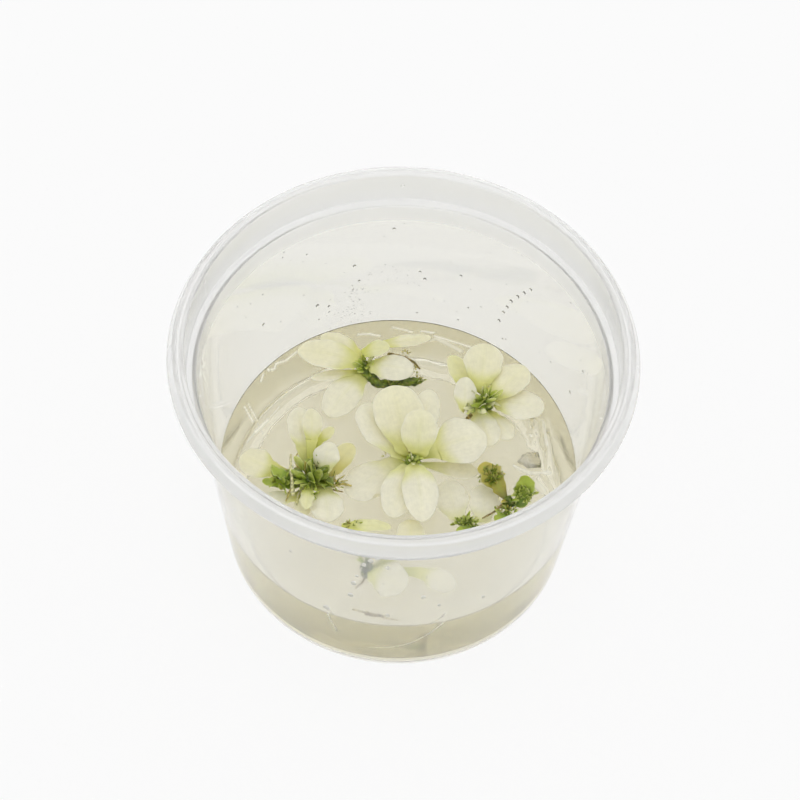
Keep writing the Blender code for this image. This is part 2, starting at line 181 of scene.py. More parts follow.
def build_piece(name: str, surfaces: list[Surface], finishes: list[Material], slot: str, *nodes: str) -> None:
    """Put surfaces into one mesh object, dressed and riding on the part.

    Args:
        name, surfaces: the piece's name and its skins.
        finishes: its materials, in the order that its bands number them.
        slot, nodes: the record's material slot, which is not used, and the CAD nodes that it stands for.
    """
    vertices, places, colours, faces, numbers = zip(*(surface.arrays() for surface in surfaces))
    starts = np.cumsum([0] + [len(part) for part in vertices]).tolist()
    joined = [[corner + start for corner in face] for start, part in zip(starts, faces) for face in part]
    mesh = bpy.data.meshes.new(name)
    mesh.from_pydata((np.vstack(vertices) * MM).tolist(), [], joined)
    mesh.shade_smooth()
    corner_vertices = np.empty(len(mesh.loops), dtype=np.int32)
    mesh.loops.foreach_get("vertex_index", corner_vertices)
    mesh.uv_layers.new(name="along_across").data.foreach_set("uv", np.vstack(places)[corner_vertices].ravel())
    tint = mesh.color_attributes.new("tint", "FLOAT_COLOR", "POINT")
    tint.data.foreach_set("color", np.column_stack([np.vstack(colours), np.ones(starts[-1])]).ravel())
    for finish in finishes:
        mesh.materials.append(finish)
    mesh.polygons.foreach_set("material_index", np.concatenate(numbers).astype(np.int32))
    piece = bpy.data.objects.new(name, mesh)
    bpy.context.scene.collection.objects.link(piece)
    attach(piece, "root")
    if nodes:
        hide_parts(*nodes)
    LOG.info("%s: %d faces, stands for %s", name, len(joined), ", ".join(nodes) or "no node")


class NodeSheet:
    """A short way to lay out the nodes of a material or world round its own shader."""

    def __init__(self, owner: Material | bpy.types.World, shader: str = "Principled BSDF") -> None:
        """Start on a new material or world, whose shader node has the given name."""
        owner.use_nodes = True
        self.owner, self.tree, self.shader = owner, owner.node_tree, owner.node_tree.nodes[shader]

    def put(self, value: object, target: Socket) -> None:
        """Join another socket to an input, or write a plain value on it.

        Args:
            value: the socket or the value.
            target: the input.
        """
        if isinstance(value, Socket):
            self.tree.links.new(value, target)
        else:
            target.default_value = value

    def add(self, kind: str, output: str, **settings: object) -> Socket:
        """Add a node.

        Args:
            kind: the node's type name, without its ShaderNode start.
            output: the name of the output to use.
            settings: sockets or values for its inputs, by name with _ for a space, or for its properties.

        Returns:
            The output socket.
        """
        node = self.tree.nodes.new("ShaderNode" + kind)
        for key, value in settings.items():
            label = key.replace("_", " ")
            if label in node.inputs:
                self.put(value, node.inputs[label])
            else:
                setattr(node, key, value)
        return node.outputs[output]

    def set(self, **values: object) -> None:
        """Fill the shader's own inputs with sockets or plain values, by name with _ for a space."""
        for key, value in values.items():
            self.put(value, self.shader.inputs[key.replace("_", " ")])

    def maths(self, operation: str, *terms: Socket | float, **settings: object) -> Socket:
        """Do one operation.

        Args:
            operation: the Math node's operation.
            terms: sockets or values for its inputs, in order.
            settings: its other properties.

        Returns:
            The result's socket.
        """
        result = self.add("Math", "Value", operation=operation, **settings)
        for term, target in zip(terms, result.node.inputs):
            self.put(term, target)
        return result

    def noise(self, scale: float, detail: float = 3.0) -> Socket:
        """A noise pattern on the piece's own Object coordinates: how fine it is per metre, and its finer layers."""
        return self.add("TexNoise", "Fac", Scale=scale, Detail=detail, Vector=self.add("TexCoord", "Object"))

    def ramp(self, value: Socket, low: float, high: float, to_low: float, to_high: float) -> Socket:
        """Map a value from the range low to high to another range, and hold it there."""
        return self.add("MapRange", "Result", Value=value, From_Min=low, From_Max=high, To_Min=to_low, To_Max=to_high)

    def bump(self, height: Socket, strength: float, distance: float) -> None:
        """Raise the surface by a pattern, with a share of effect and a full height in metres."""
        self.set(Normal=self.add("Bump", "Normal", Height=height, Strength=strength, Distance=distance))

    def shaded_tint(self, shade: Socket) -> Socket:
        """The piece's own tint times a shade."""
        tint = self.add("Attribute", "Color", attribute_name="tint")
        return self.add("VectorMath", "Vector", operation="SCALE", Vector=tint, Scale=shade)


@dataclass(frozen=True)
class ClearFinish:
    """See-through stuff: cup plastic, gel or water.

    Attributes:
        clearness: share of the light that passes; the rest scatters at the surface.
        roughness, cloud_scale: lowest and highest, over a cloudy pattern, and how fine that is, per metre.
        ripple: height of its unevenness, in metres.
        absorb, density: colour that the depth lets through, if any, and how fast it takes up light, per metre.
        marked: whether the piece's own tint lowers the clearness, so that a low tint paints a pale highlight.
    """

    name: str
    colour: Colour
    clearness: float
    ior: float = PLASTIC_IOR
    roughness: Pair = (0.02, 0.065)
    cloud_scale: float = 160.0
    ripple: float = 0.0
    absorb: Colour | None = None
    density: float = 0.0
    marked: bool = False

    def build(self) -> Material:
        """Lay out the material.

        Returns:
            The material.
        """
        sheet = NodeSheet(bpy.data.materials.new(self.name))
        sheet.set(Base_Color=(*self.colour, 1.0), Transmission_Weight=self.clearness, IOR=self.ior)
        sheet.set(Roughness=sheet.ramp(sheet.noise(self.cloud_scale), 0.35, 0.65, *self.roughness))
        if self.ripple:
            sheet.bump(sheet.noise(self.cloud_scale * 1.7, 2.0), 1.0, self.ripple)
        if self.marked:
            # Painted highlights: where the tint is low, the surface scatters instead of letting light through, and
            # shows pale.
            tint = sheet.add("Attribute", "Fac", attribute_name="tint")
            sheet.set(Transmission_Weight=sheet.ramp(tint, 0.0, 1.0, 0.0, self.clearness))
        if self.absorb:
            depth = sheet.add("VolumeAbsorption", "Volume", Color=(*self.absorb, 1.0), Density=self.density)
            sheet.put(depth, sheet.tree.nodes["Material Output"].inputs["Volume"])
        return sheet.owner


@dataclass(frozen=True)
class LeafFinish:
    """Thin moist leaf: its own tint, with veins along it and fine mottling.

    Attributes:
        glow: share of the light that scatters inside.
        veins, vein_depth: how many vein bands lie across the blade, and how much darker the lines between are.
    """

    name: str
    glow: float
    veins: float
    vein_depth: float

    def build(self) -> Material:
        """Lay out the material: the veins are a sine of the place across, led astray by noise.

        Returns:
            The material.
        """
        sheet = NodeSheet(bpy.data.materials.new(self.name))
        place = sheet.add("SeparateXYZ", "Y", Vector=sheet.add("UVMap", "UV", uv_map="along_across"))
        across = sheet.maths("MULTIPLY_ADD", sheet.noise(260.0, 2.0), 0.05, place)
        line = sheet.maths("SINE", sheet.maths("MULTIPLY", across, self.veins * 2.0 * math.pi))
        vein = sheet.ramp(line, -1.0, 1.0, 1.0 - self.vein_depth, 1.0)
        mottle = sheet.ramp(sheet.noise(900.0, 4.0), 0.3, 0.7, 0.94, 1.03)
        sheet.set(Base_Color=sheet.shaded_tint(sheet.maths("MULTIPLY", vein, mottle)))
        sheet.set(Roughness=sheet.ramp(sheet.noise(1400.0, 2.0), 0.3, 0.7, 0.28, 0.45))
        sheet.bump(line, 0.09, 0.00006)
        sheet.set(Subsurface_Weight=self.glow, Subsurface_Radius=(1.0, 0.95, 0.75), Subsurface_Scale=0.0012)
        sheet.set(Coat_Weight=0.15, Coat_Roughness=0.15)
        return sheet.owner


@dataclass(frozen=True)
class StemFinish:
    """Moist stem or root: its own tint, broken up by spots.

    Attributes:
        spots: how fine the spots are, per metre.
        bump: height of its grain, in metres.
        glow: share of the light that scatters inside.
    """

    name: str
    roughness: Pair
    spots: float
    bump: float
    glow: float

    def build(self) -> Material:
        """Lay out the material.

        Returns:
            The material.
        """
        sheet = NodeSheet(bpy.data.materials.new(self.name))
        sheet.set(Base_Color=sheet.shaded_tint(sheet.ramp(sheet.noise(self.spots, 4.0), 0.35, 0.68, 0.55, 1.35)))
        sheet.set(Roughness=sheet.ramp(sheet.noise(self.spots * 2.0), 0.3, 0.7, *self.roughness))
        sheet.bump(sheet.noise(self.spots * 1.5), 0.6, self.bump)
        sheet.set(Subsurface_Weight=self.glow, Subsurface_Radius=(1.0, 0.8, 0.3), Subsurface_Scale=0.001)
        return sheet.owner


GEL_DEPTH, LUMP_DEPTH = (0.77, 0.72, 0.32), (0.50, 0.48, 0.42)
CUP_PLASTIC = ClearFinish("clear_cup_plastic", (0.94, 0.935, 0.905), 0.90)
WET_PLASTIC = ClearFinish("wet_cup_plastic", (0.965, 0.965, 0.945), 0.99)
BASE_PLASTIC = ClearFinish("cup_base_plastic", (0.865, 0.845, 0.785), 0.90)
LIP_PLASTIC = ClearFinish("cloudy_lip_plastic", (0.975, 0.975, 0.965), 0.68, PLASTIC_IOR, (0.11, 0.18), 120.0)
# The gel's tint lowers its clearness along the ridges' painted glints.
GEL = ClearFinish("nutrient_gel", (0.95, 0.93, 0.82), 0.88, GEL_IOR, (0.0, 0.04), 220.0, 0.00001, GEL_DEPTH, 7.5, True)
GEL_SIDE = ClearFinish("nutrient_gel_side", (0.99, 0.98, 0.93), 0.98, GEL_IOR, (0.0, 0.02), 220.0, 0.0, GEL_DEPTH, 7.5)
TORN_GEL = ClearFinish("torn_gel", (0.82, 0.8, 0.71), 0.92, GEL_IOR, (0.0, 0.05), 500.0, 0.0002, LUMP_DEPTH, 60.0, True)
WATER = ClearFinish("condensed_water", (1.0, 1.0, 1.0), 1.0, WATER_IOR, (0.0, 0.02), 300.0, marked=True)
LEAF = LeafFinish("pale_leaf", glow=0.42, veins=13.0, vein_depth=0.016)
STEM = StemFinish("green_stem", (0.3, 0.55), spots=1500.0, bump=0.0001, glow=0.15)
ROOT = StemFinish("pale_root", (0.35, 0.6), spots=1800.0, bump=0.00005, glow=0.4)


@dataclass(frozen=True)
class Cup:
    """The clear cup, turned about Z. Sizes in millimetres."""

    height: float = 71.0
    rim: float = 50.0
    base: float = 40.0
    wall: float = 0.9
    ledge: float = 44.1
    ledge_depth: float = 8.6
    collar: float = 46.2
    lip_top: float = 49.0
    skirt: float = 2.7
    corner: float = 2.2
    foot_height: float = 0.8
    foot_width: float = 1.8
    cloudy_depth: float = 3.5
    columns: int = 192

    def outer(self, z: float) -> float:
        """Outside radius of the tapered wall at a height."""
        return self.base + (self.ledge + self.wall - self.base) * z / (self.height - self.ledge_depth)

    def inner(self, z: float) -> float:
        """Inside radius of the tapered wall at a height."""
        return self.outer(z) - self.wall

    @staticmethod
    def bend(r: float, z: float, radius: float, start: float, end: float, steps: int) -> Array:
        """Points (r, z) on an arc round a centre, from one angle in degrees to another."""
        angle = np.radians(np.linspace(start, end, steps + 1))
        return np.stack([r + radius * np.cos(angle), z + radius * np.sin(angle)], 1)

    def section(self) -> Array:
        """The cup's section: up the inside, over the lip and down the outside to the middle.

        Returns:
            Its points (r, z).
        """
        bend, wall, top = self.bend, self.wall, self.height
        ledge_z, skirt_z = top - self.ledge_depth, top - self.skirt
        floor, corner = self.foot_height + wall, self.corner - wall
        foot = self.outer(self.corner) - self.corner
        stretches = [
            [(0.4, floor)],
            bend(self.inner(floor + corner) - corner, floor + corner, corner, -90, 0, 6),
            bend(self.ledge + 0.35, ledge_z, 0.35, 180, 90, 4),
            bend(self.collar - 0.3, ledge_z + 0.65, 0.3, -90, 0, 4),
            bend(self.collar + 0.4, top - 0.4, 0.4, 180, 90, 5),
            [(47.1, top), (47.25, top - 0.16), (47.75, top - 0.16), (47.9, top)],
            bend(self.lip_top - 0.6, top - 0.6, 0.6, 90, 20, 5),
            bend(self.rim - 0.25, skirt_z + 0.25, 0.25, 20, -90, 4),
            bend(self.rim - wall + 0.1, skirt_z + 0.1, 0.1, -90, -200, 3),
            bend(self.lip_top - wall - 0.3, top - wall - 0.3, 0.3, 20, 90, 3),
            bend(self.collar + wall + 0.3, top - wall - 0.3, 0.3, 90, 180, 3),
            bend(self.collar + wall - 0.5, ledge_z - 0.1, 0.5, 0, -90, 4),
            bend(self.ledge + wall + 0.25, ledge_z - 0.85, 0.25, 90, 180, 3),
            bend(foot, self.corner, self.corner, 0, -90, 6),
            [(foot - self.foot_width, 0.0), (foot - self.foot_width - 0.6, self.foot_height), (0.4, self.foot_height)],
        ]
        return np.vstack([np.asarray(stretch, dtype=float) for stretch in stretches])

    @staticmethod
    def refined(section: Array, longest: float) -> Array:
        """Put more points on a section, beside its bends and along its stretches.

        Args:
            section: points (r, z).
            longest: longest stretch to leave.

        Returns:
            The finer section.
        """
        run = runs(section)
        where = np.concatenate([run, np.arange(0.0, run[-1], longest), run + 0.12, run - 0.12])
        where = np.unique(np.clip(where, 0.0, run[-1]).round(4))
        return read_between(where, run, section)

    @staticmethod
    def turned(section: Array, columns: int) -> Array:
        """Turn a section of (r, z) points about Z in a number of columns: x = r cos a, y = r sin a."""
        angle, radius, z = round_row(columns), section[:, :1], section[:, 1:]
        return np.stack([radius * np.cos(angle), radius * np.sin(angle), np.broadcast_to(z, (len(z), columns))], -1)

    def build(self) -> None:
        """Make the cup in place of its node, with bands for the lip, the base and the wall that the gel wets."""
        section = self.refined(self.section(), 2.5)
        middle = (section[1:, 1] + section[:-1, 1]) / 2
        lip = middle > self.height - self.ledge_depth - self.cloudy_depth
        bands = np.select([lip, middle < self.corner + 0.5, middle < GEL_LEVEL], [1, 3, 2])
        finishes = [finish.build() for finish in (CUP_PLASTIC, LIP_PLASTIC, WET_PLASTIC, BASE_PLASTIC)]
        skin = Surface(self.turned(section, self.columns), bands=bands)
        build_piece("cup_shell", [skin], finishes, "cup_plastic", "cup")


@dataclass(frozen=True)
class Ridge:
    """A low bank or groove in the gel's top: a line from start to end in millimetres, its height and half width.

    A milky one has straight slopes and a pale streak along its middle line: a painted glint, where the wet gel's top
    reflects light.
    """

    start: Pair
    end: Pair
    height: float
    width: float
    painted_highlight: float = 0.0

    def away(self, x: Array, y: Array) -> Array:
        """Distance of each place from the line.

        Args:
            x, y: the places.

        Returns:
            The distances as shares of the half width.
        """
        start, line = np.array(self.start), np.array(self.end) - np.array(self.start)
        share = np.clip(((x - start[0]) * line[0] + (y - start[1]) * line[1]) / (line @ line), 0.0, 1.0)
        return np.hypot(x - start[0] - share * line[0], y - start[1] - share * line[1]) / self.width


RIDGES = tuple(Ridge(row[:2], row[2:4], *row[4:]) for row in (
    # start x, y, end x, y, height, half width, strength of the painted glint
    (34.1, 14.4, 34.5, 0.6, 0.25, 0.7), (31.4, 13.2, 31, 7.6, 0.35, 0.8), (33, 13.6, 33.6, 7, 0.3, 0.6),
    (30.2, 10.4, 33, 9, 0.25, 0.7), (26.7, 0.7, 31, -0.8, 0.5, 0.7), (31, -0.8, 34.5, 0, 0.4, 0.7),
    (23.5, -1, 26.7, 0.7, 0.3, 0.7), (33, -2, 34.6, -5, 0.5, 1),
    (-36.8, 14.1, -34.3, 9.7, 0.03, 0.3, 0.9), (-35.8, 14.6, -33.4, 10.2, 0.03, 0.26, 0.7),
    (-33.9, 10.3, -31.8, 6.8, 0.03, 0.2, 0.3), (-31, 10.4, -33.6, 6.9, 0.05, 0.45, 1),
    (-31, 10.4, -28.6, 14.2, 0.03, 0.22, 0.6), (-33.6, 6.9, -35.4, 3.9, 0.03, 0.22, 0.6),
    (-33.4, 21.4, -33, 23.4, 0.04, 0.35, 0.8), (-32.1, 24.6, -30.6, 24.9, 0.04, 0.4, 1),
    (-30.6, 24.9, -30.2, 26.6, 0.04, 0.35, 1), (-30.2, 26.6, -28, 27.6, 0.04, 0.4, 1),
    (-28, 27.6, -25.5, 30.4, 0.04, 0.4, 1), (-11.2, 36.3, -8.4, 36.6, 0.04, 0.3, 1),
    (-8.4, 36.6, -5.9, 36.2, 0.04, 0.35, 1), (-3.2, 39, 0.6, 38.2, 0.04, 0.3, 0.9),
    (1, 38, 1.8, 37.9, 0.05, 0.4, 0.9), (-3.4, 34, -2.6, 33.4, 0.05, 0.5, 1),
    (-2.6, 33.4, -0.3, 33.4, 0.05, 0.55, 1), (3.9, 38.3, 7, 37.9, 0.04, 0.35, 1),
    (7.3, 37, 15.8, 34.3, 0.04, 0.33, 1), (6.2, 35.6, 8, 36.4, 0.04, 0.5, 0.45),
    (8, 36.2, 13.6, 33, 0.05, 0.75, 0.55), (26.7, 0.9, 30.5, -0.9, 0.06, 0.5, 0.75),
    (30.5, -0.9, 35, -0.2, 0.06, 0.45, 0.7), (33.4, 13.6, 34.2, 7.2, 0.06, 0.4, 0.55),
    (31.5, -3, 33.2, -5.2, 0.10, 1.2, 0.4), (22, -5, 26, -12, 0.5, 0.5),
    (-2, -22, 9, -21, -0.3, 1.5), (12, 10, 12, -4, -0.25, 2),
))


@dataclass(frozen=True)
class Gel:
    """The bed of gel with its level but uneven top. Sizes in millimetres.

    Its sides reach a little way into the cup's wall, so that light passes from plastic to gel with no air between.
    """

    cup: Cup
    overlap: float = 0.45
    climb: float = 0.25
    climb_reach: float = 1.2
    middle: float = 0.3
    rows: int = 180
    columns: int = 420

    def top(self, x: Array, y: Array, radius: float) -> Array:
        """Height of the gel's top: an exponential climb at the wall, sums of sines, and a bell or slopes on each ridge.

        Args:
            x, y: the places.
            radius: the gel's radius at its top.

        Returns:
            The height at each place.
        """
        z = GEL_LEVEL + self.climb * np.exp(-(radius - np.hypot(x, y)) / self.climb_reach)
        z = z + 0.05 * np.sin(0.31 * x + 0.7) * np.sin(0.27 * y + 1.1) + 0.02 * np.sin(0.9 * x - 0.6 * y)
        z = z + 0.012 * np.sin(1.9 * x + 1.3 * y) * np.sin(1.5 * y)
        for ridge in RIDGES:
            away = ridge.away(x, y)
            z = z + ridge.height * (np.clip(1.0 - away, 0.0, 1.0) if ridge.painted_highlight else np.exp(-(away**2)))
        return z

    @staticmethod
    def clearness_with_painted_glints(x: Array, y: Array) -> Array:
        """How clear the top is: 1, less towards the middle line of each painted glint, which shows pale where it is
        less clear.
        """
        painted_highlight = [ridge.painted_highlight * np.clip(1.5 - 1.5 * ridge.away(x, y), 0.0, 1.0) for ridge in RIDGES if ridge.painted_highlight]
        return 1.0 - np.max(painted_highlight, axis=0)

    def build(self) -> None:
        """Make the bed in place of its node."""
        cup = self.cup
        bottom = cup.foot_height + cup.wall - self.overlap
        corner = cup.corner - cup.wall + self.overlap
        radius = cup.inner(GEL_LEVEL) + self.overlap
        low = cup.inner(bottom + corner) + self.overlap - corner
        face = np.stack([np.linspace(self.middle, radius - 0.25, self.rows), np.full(self.rows, GEL_LEVEL)], 1)
        edge = [[radius - 0.08, GEL_LEVEL], [radius, GEL_LEVEL - 0.1]]
        side = np.vstack([edge, cup.bend(low, bottom + corner, corner, 0, -90, 6), [[self.middle, bottom]]])
        section = np.vstack([face, cup.refined(side, 2.0)])
        points = cup.turned(section, self.columns)
        raised = self.top(points[..., 0], points[..., 1], radius) - GEL_LEVEL
        points[..., 2] += raised * smooth_between(GEL_LEVEL - 1.2, GEL_LEVEL - 0.1, points[..., 2])
        bands = (section[:-1, 1] < GEL_LEVEL - 0.05).astype(int)
        # The tint carries the clearness, lowered along each painted glint.
        tint = np.repeat(self.clearness_with_painted_glints(points[..., 0], points[..., 1])[..., None], 3, axis=2)
        build_piece("gel_bed", [Surface(points, tint, bands=bands)], [GEL.build(), GEL_SIDE.build()], "gel", "gel")


@dataclass(frozen=True)
class GelLump:
    """The broken lump of gel on the bed. Sizes in millimetres."""

    centre: Point = (30.1, 2.8, 23.2)
    size: Point = (3.8, 3.2, 2.7)
    turn: float = 18.0
    facets: int = 22
    sharpness: float = 26.0
    seed: int = 5

    def build(self) -> None:
        """Make the lump in place of its node: a dome with facets like torn gel, and a left side made less clear so that
        it shows pale, a painted highlight.

        The radius in each direction is the least distance to a few tilted planes, softened, times folds that
        are a product of two sines.
        """
        rise, angle = np.linspace(0.02, 0.5 * np.pi, LUMP_GRID[0])[:, None], round_row(LUMP_GRID[1])
        way = np.stack([np.cos(rise) * np.cos(angle), np.cos(rise) * np.sin(angle), np.sin(rise) + 0.0 * angle], -1)
        luck = np.random.default_rng(self.seed)
        planes = unit(luck.normal(0.0, 1.0, (self.facets, 3)) * [1.0, 1.0, 0.6] + [0.0, 0.0, 0.45])
        reach = luck.uniform(0.75, 1.15, self.facets) / np.maximum(way @ planes.T, 0.15)
        radius = -np.log(np.exp(-self.sharpness * reach).sum(-1)) / self.sharpness
        fold = np.sin(5 * way[..., 0] + 3 * way[..., 2]) * np.sin(4 * way[..., 1] - 3 * way[..., 2] + 1.0)
        radius = radius * (1.0 + 0.1 * fold * smooth_between(1.55, 1.2, rise))
        radius = radius / radius.max()
        # Painted highlight: the left side gets a lower clearness, so it shows pale.
        tint = np.repeat((1.0 - 0.3 * smooth_between(0.4, -0.5, way[..., 0]))[..., None], 3, axis=2)
        turn = math.radians(self.turn)
        shaped = way * radius[..., None] * np.array(self.size)
        x = shaped[..., 0] * math.cos(turn) - shaped[..., 1] * math.sin(turn)
        y = shaped[..., 0] * math.sin(turn) + shaped[..., 1] * math.cos(turn)
        points = np.stack([x, y, shaped[..., 2]], -1) + np.array(self.centre)
        build_piece("torn_gel_lump", [Surface(points, tint)], [TORN_GEL.build()], "gel", "gel_lump")


class Tone(Enum):
    """Leaf colours: blade, its base, its stalk, and how far the base colour reaches up the blade."""

    WHITE = (linear(242, 238, 212), linear(222, 222, 150), linear(166, 172, 56), 0.30)
    SUNK = (linear(238, 234, 212), linear(228, 226, 184), linear(196, 200, 122), 0.3)
    CREAM = (linear(240, 235, 200), linear(216, 216, 132), linear(160, 164, 48), 0.36)
    LIME = (linear(234, 232, 180), linear(206, 210, 104), linear(146, 158, 40), 0.5)
    YELLOW = (linear(228, 222, 168), linear(214, 206, 128), linear(176, 170, 72), 0.6)
    OLIVE = (linear(184, 172, 74), linear(150, 142, 44), linear(120, 112, 34), 0.7)
    GREEN = (linear(160, 178, 56), linear(112, 142, 32), linear(100, 124, 30), 0.7)
    BRIGHT = (linear(196, 206, 96), linear(146, 172, 48), linear(104, 134, 30), 0.7)
    DARK = (linear(116, 134, 34), linear(78, 102, 22), linear(70, 86, 22), 0.8)


WHITE, SUNK, CREAM, LIME, YELLOW, OLIVE, GREEN, BRIGHT, DARK = Tone
# Pale colour for a painted highlight along the leaf edges, where the thin blade catches the light.
PAINTED_RIM_HIGHLIGHT = np.array(linear(248, 246, 228))
MIDDLE_GREEN = np.array(GREEN.value[0])
STEM_GREEN, STEM_DARK, STEM_TAN = (np.array(linear(*c)) for c in ((138, 158, 44), (46, 66, 16), (160, 148, 84)))


@dataclass(frozen=True)
class Leaf:
    """A blade from base to tip, each (x, y, height over the gel), on a stalk from its rhizome, in millimetres.

    Attributes:
        node: the last part of its node's name.
        stalk: height over the gel where the stalk leaves the crown.
        arch: rise of its middle.
        cup, fold: rise of its edges in a bow and in a straight V, as shares of the half width.
        ovate: above 0 it is widest near the base.
        roll: turn about its own length, in degrees.
        ruffle: how wavy its edge is.
        dark: share of green shading in its middle.
    """

    node: str
    base: Point
    tip: Point
    width: float
    stalk: float
    tone: Tone = WHITE
    arch: float = 0.4
    cup: float = 0.0
    ovate: float = 0.0
    roll: float = 0.0
    fold: float = 0.0
    ruffle: float = 1.0
    dark: float = 0.0

    def path(self, root: Array, share: Array, blade: Array, swing: float) -> tuple[Array, Array, Array]:
        """Middle line of stalk and blade, with the directions across it and out of its face.

        The stalk is a cubic that leaves the crown rising and meets the blade in line with it. The blade is
        straight, lifted by arch 4q(1-q) and swung sideways by a sine of its length.

        Args:
            root: where the stalk starts.
            share, blade: places along the stalk and places q along the blade, 0 to 1.
            swing: how far the blade swings sideways.

        Returns:
            Points, directions across and directions out, one for each row.
        """
        base, tip = lift(self.base), lift(self.tip)
        length = float(np.linalg.norm(tip - base))
        along = (tip - base) / length
        face = unit(np.array([0.0, 0.0, 1.0]) - along * along[2])
        turn = math.radians(self.roll)
        across = np.cross(along, face) * math.cos(turn) + face * math.sin(turn)
        face = np.cross(across, along)
        span = float(np.linalg.norm(base - root))
        leave = unit((base - root) * [1, 1, 0.3] + np.array([0.0, 0.0, 0.25 * span])) * span
        arrive = along * min(span, 0.5 * length)
        s, q = share[:, None], blade[:, None]
        stalk = root * (1 + 2 * s) * (1 - s) ** 2 + leave * s * (1 - s) ** 2
        stalk = stalk + base * s**2 * (3 - 2 * s) + arrive * s**2 * (s - 1)
        leafy = base + along * length * q + face * self.arch * 4 * q * (1 - q) + across * swing * np.sin(np.pi * q)
        line = np.vstack([stalk, leafy])
        ahead = unit(np.gradient(line, axis=0))
        side = unit(across - ahead * (ahead @ across)[:, None])
        return line, side, np.cross(side, ahead)

    def surface(self, root: Array, seed: int) -> Surface:
        """The leaf's skin: a thin oval section carried along its middle line.

        It widens as a wedge along the stalk and then as a leaned ellipse. Its edges rise by cup and wave as sines
        along the blade, and a shallow groove marks the midrib.

        Args:
            root: where the stalk starts.
            seed: picks this leaf's own small waves.

        Returns:
            The skin with its colours and map.
        """
        luck = np.random.default_rng(seed)
        share = np.linspace(0.0, 1.0, STALK_ROWS, endpoint=False)
        blade = 0.5 - 0.5 * np.cos(np.pi * np.linspace(0.04, 0.975, BLADE_ROWS))
        line, side, out = self.path(root, share, blade, luck.uniform(-0.05, 0.05) * self.width)
        q = np.concatenate([np.zeros(len(share)), blade])[:, None]
        run = np.concatenate([share - 1.0, blade])[:, None]
        oval = self.width / 2 * np.sqrt(4 * q * (1 - q)) * (1 + 2 * self.ovate * (0.5 - q))
        oval = oval * (1 - 0.30 * np.exp(-q / 0.10))
        stem = min(0.4, 0.12 + 0.05 * self.width)
        wedge = stem + 0.24 * self.width * np.clip(1 + run, 0.0, 1.0) ** 1.3
        half = np.sqrt(oval**2 + (wedge * (1 - q) ** 5) ** 2)
        thick = np.minimum(stem + (0.14 - stem) * smooth_between(-0.9, 0.1, run), half)
        angle = round_row(LEAF_COLUMNS)
        edge = np.cos(angle)
        wave = self.ruffle * luck.uniform(0.03, 0.06) * half * wavy(luck, q, 1.0, 1.9, edge)
        wave = wave + self.ruffle * 0.02 * half * wavy(luck, q, 2.4, 3.4, -2 * edge)
        widen = 1 + self.ruffle * 0.025 * wavy(luck, q, 1.6, 2.6, 2 * edge)
        widen = widen + self.ruffle * 0.015 * wavy(luck, q, 3.2, 4.8, -edge)
        groove = -0.07 * np.exp(-((edge / 0.13) ** 2)) * smooth_between(0.0, 0.3, q) * smooth_between(1.0, 0.7, q)
        rise = thick * np.sin(angle) + (self.cup * edge**2 + self.fold * np.sqrt(edge**2 + 0.01)) * half
        rise = rise + wave * edge**2 * smooth_between(0.1, 0.4, q) + groove
        points = carried(line, side, out, half * edge * widen, rise)
        return Surface(points, self.colours(q, run, edge, luck), 0.5 + 0.5 * edge + 0.0 * q)

    def colours(self, q: Array, run: Array, edge: Array, luck: np.random.Generator) -> Array:
        """Colour over the leaf: stalk, base and blade run into each other, greener along the midrib, with a painted
        highlight along the edges.

        Args:
            q, run: places along the blade, and along stalk and blade, below 0 on the stalk.
            edge: places across, from -1 to 1.
            luck: this leaf's own numbers.

        Returns:
            (rows, columns, 3) linear colours.
        """
        blade, base, stalk, reach = (np.array(part) for part in self.tone.value)
        run = run + 0.0 * edge
        colour = blend(stalk, base, smooth_between(-0.75, 0.02, run))
        colour = blend(colour, blade, smooth_between(-0.05, float(reach), run - 0.18 * edge**2))
        colour = blend(colour, base, 0.22 * np.exp(-((edge / 0.10) ** 2)) * (1 - q))
        # Painted highlight: the blade's edges lighten towards a pale colour.
        rim = 0.3 * smooth_between(0.88, 1.0, np.abs(edge)) * smooth_between(0.15, 0.4, q)
        colour = blend(colour, PAINTED_RIM_HIGHLIGHT, rim)
        colour = blend(colour, MIDDLE_GREEN, self.dark * np.exp(-((edge / 0.6) ** 2) - ((q - 0.35) / 0.4) ** 2))
        patch = np.sin(luck.uniform(3, 6) * q + luck.uniform(1, 3) * edge + luck.uniform(0, 6))
        patch = patch * np.sin(luck.uniform(5, 9) * q - 2 * edge)
        return colour * (luck.uniform(0.98, 1.02) + 0.03 * patch[..., None])


def crinkled(node: str, base: Point, tip: Point, width: float, stalk: float, tone: Tone, **other: float) -> Leaf:
    """A small green leaf with a wavy edge; the arguments are those of Leaf."""
    return Leaf(node, base, tip, width, stalk, tone, **{"arch": 0.2, "cup": 0.2, "ruffle": 4.0, **other})


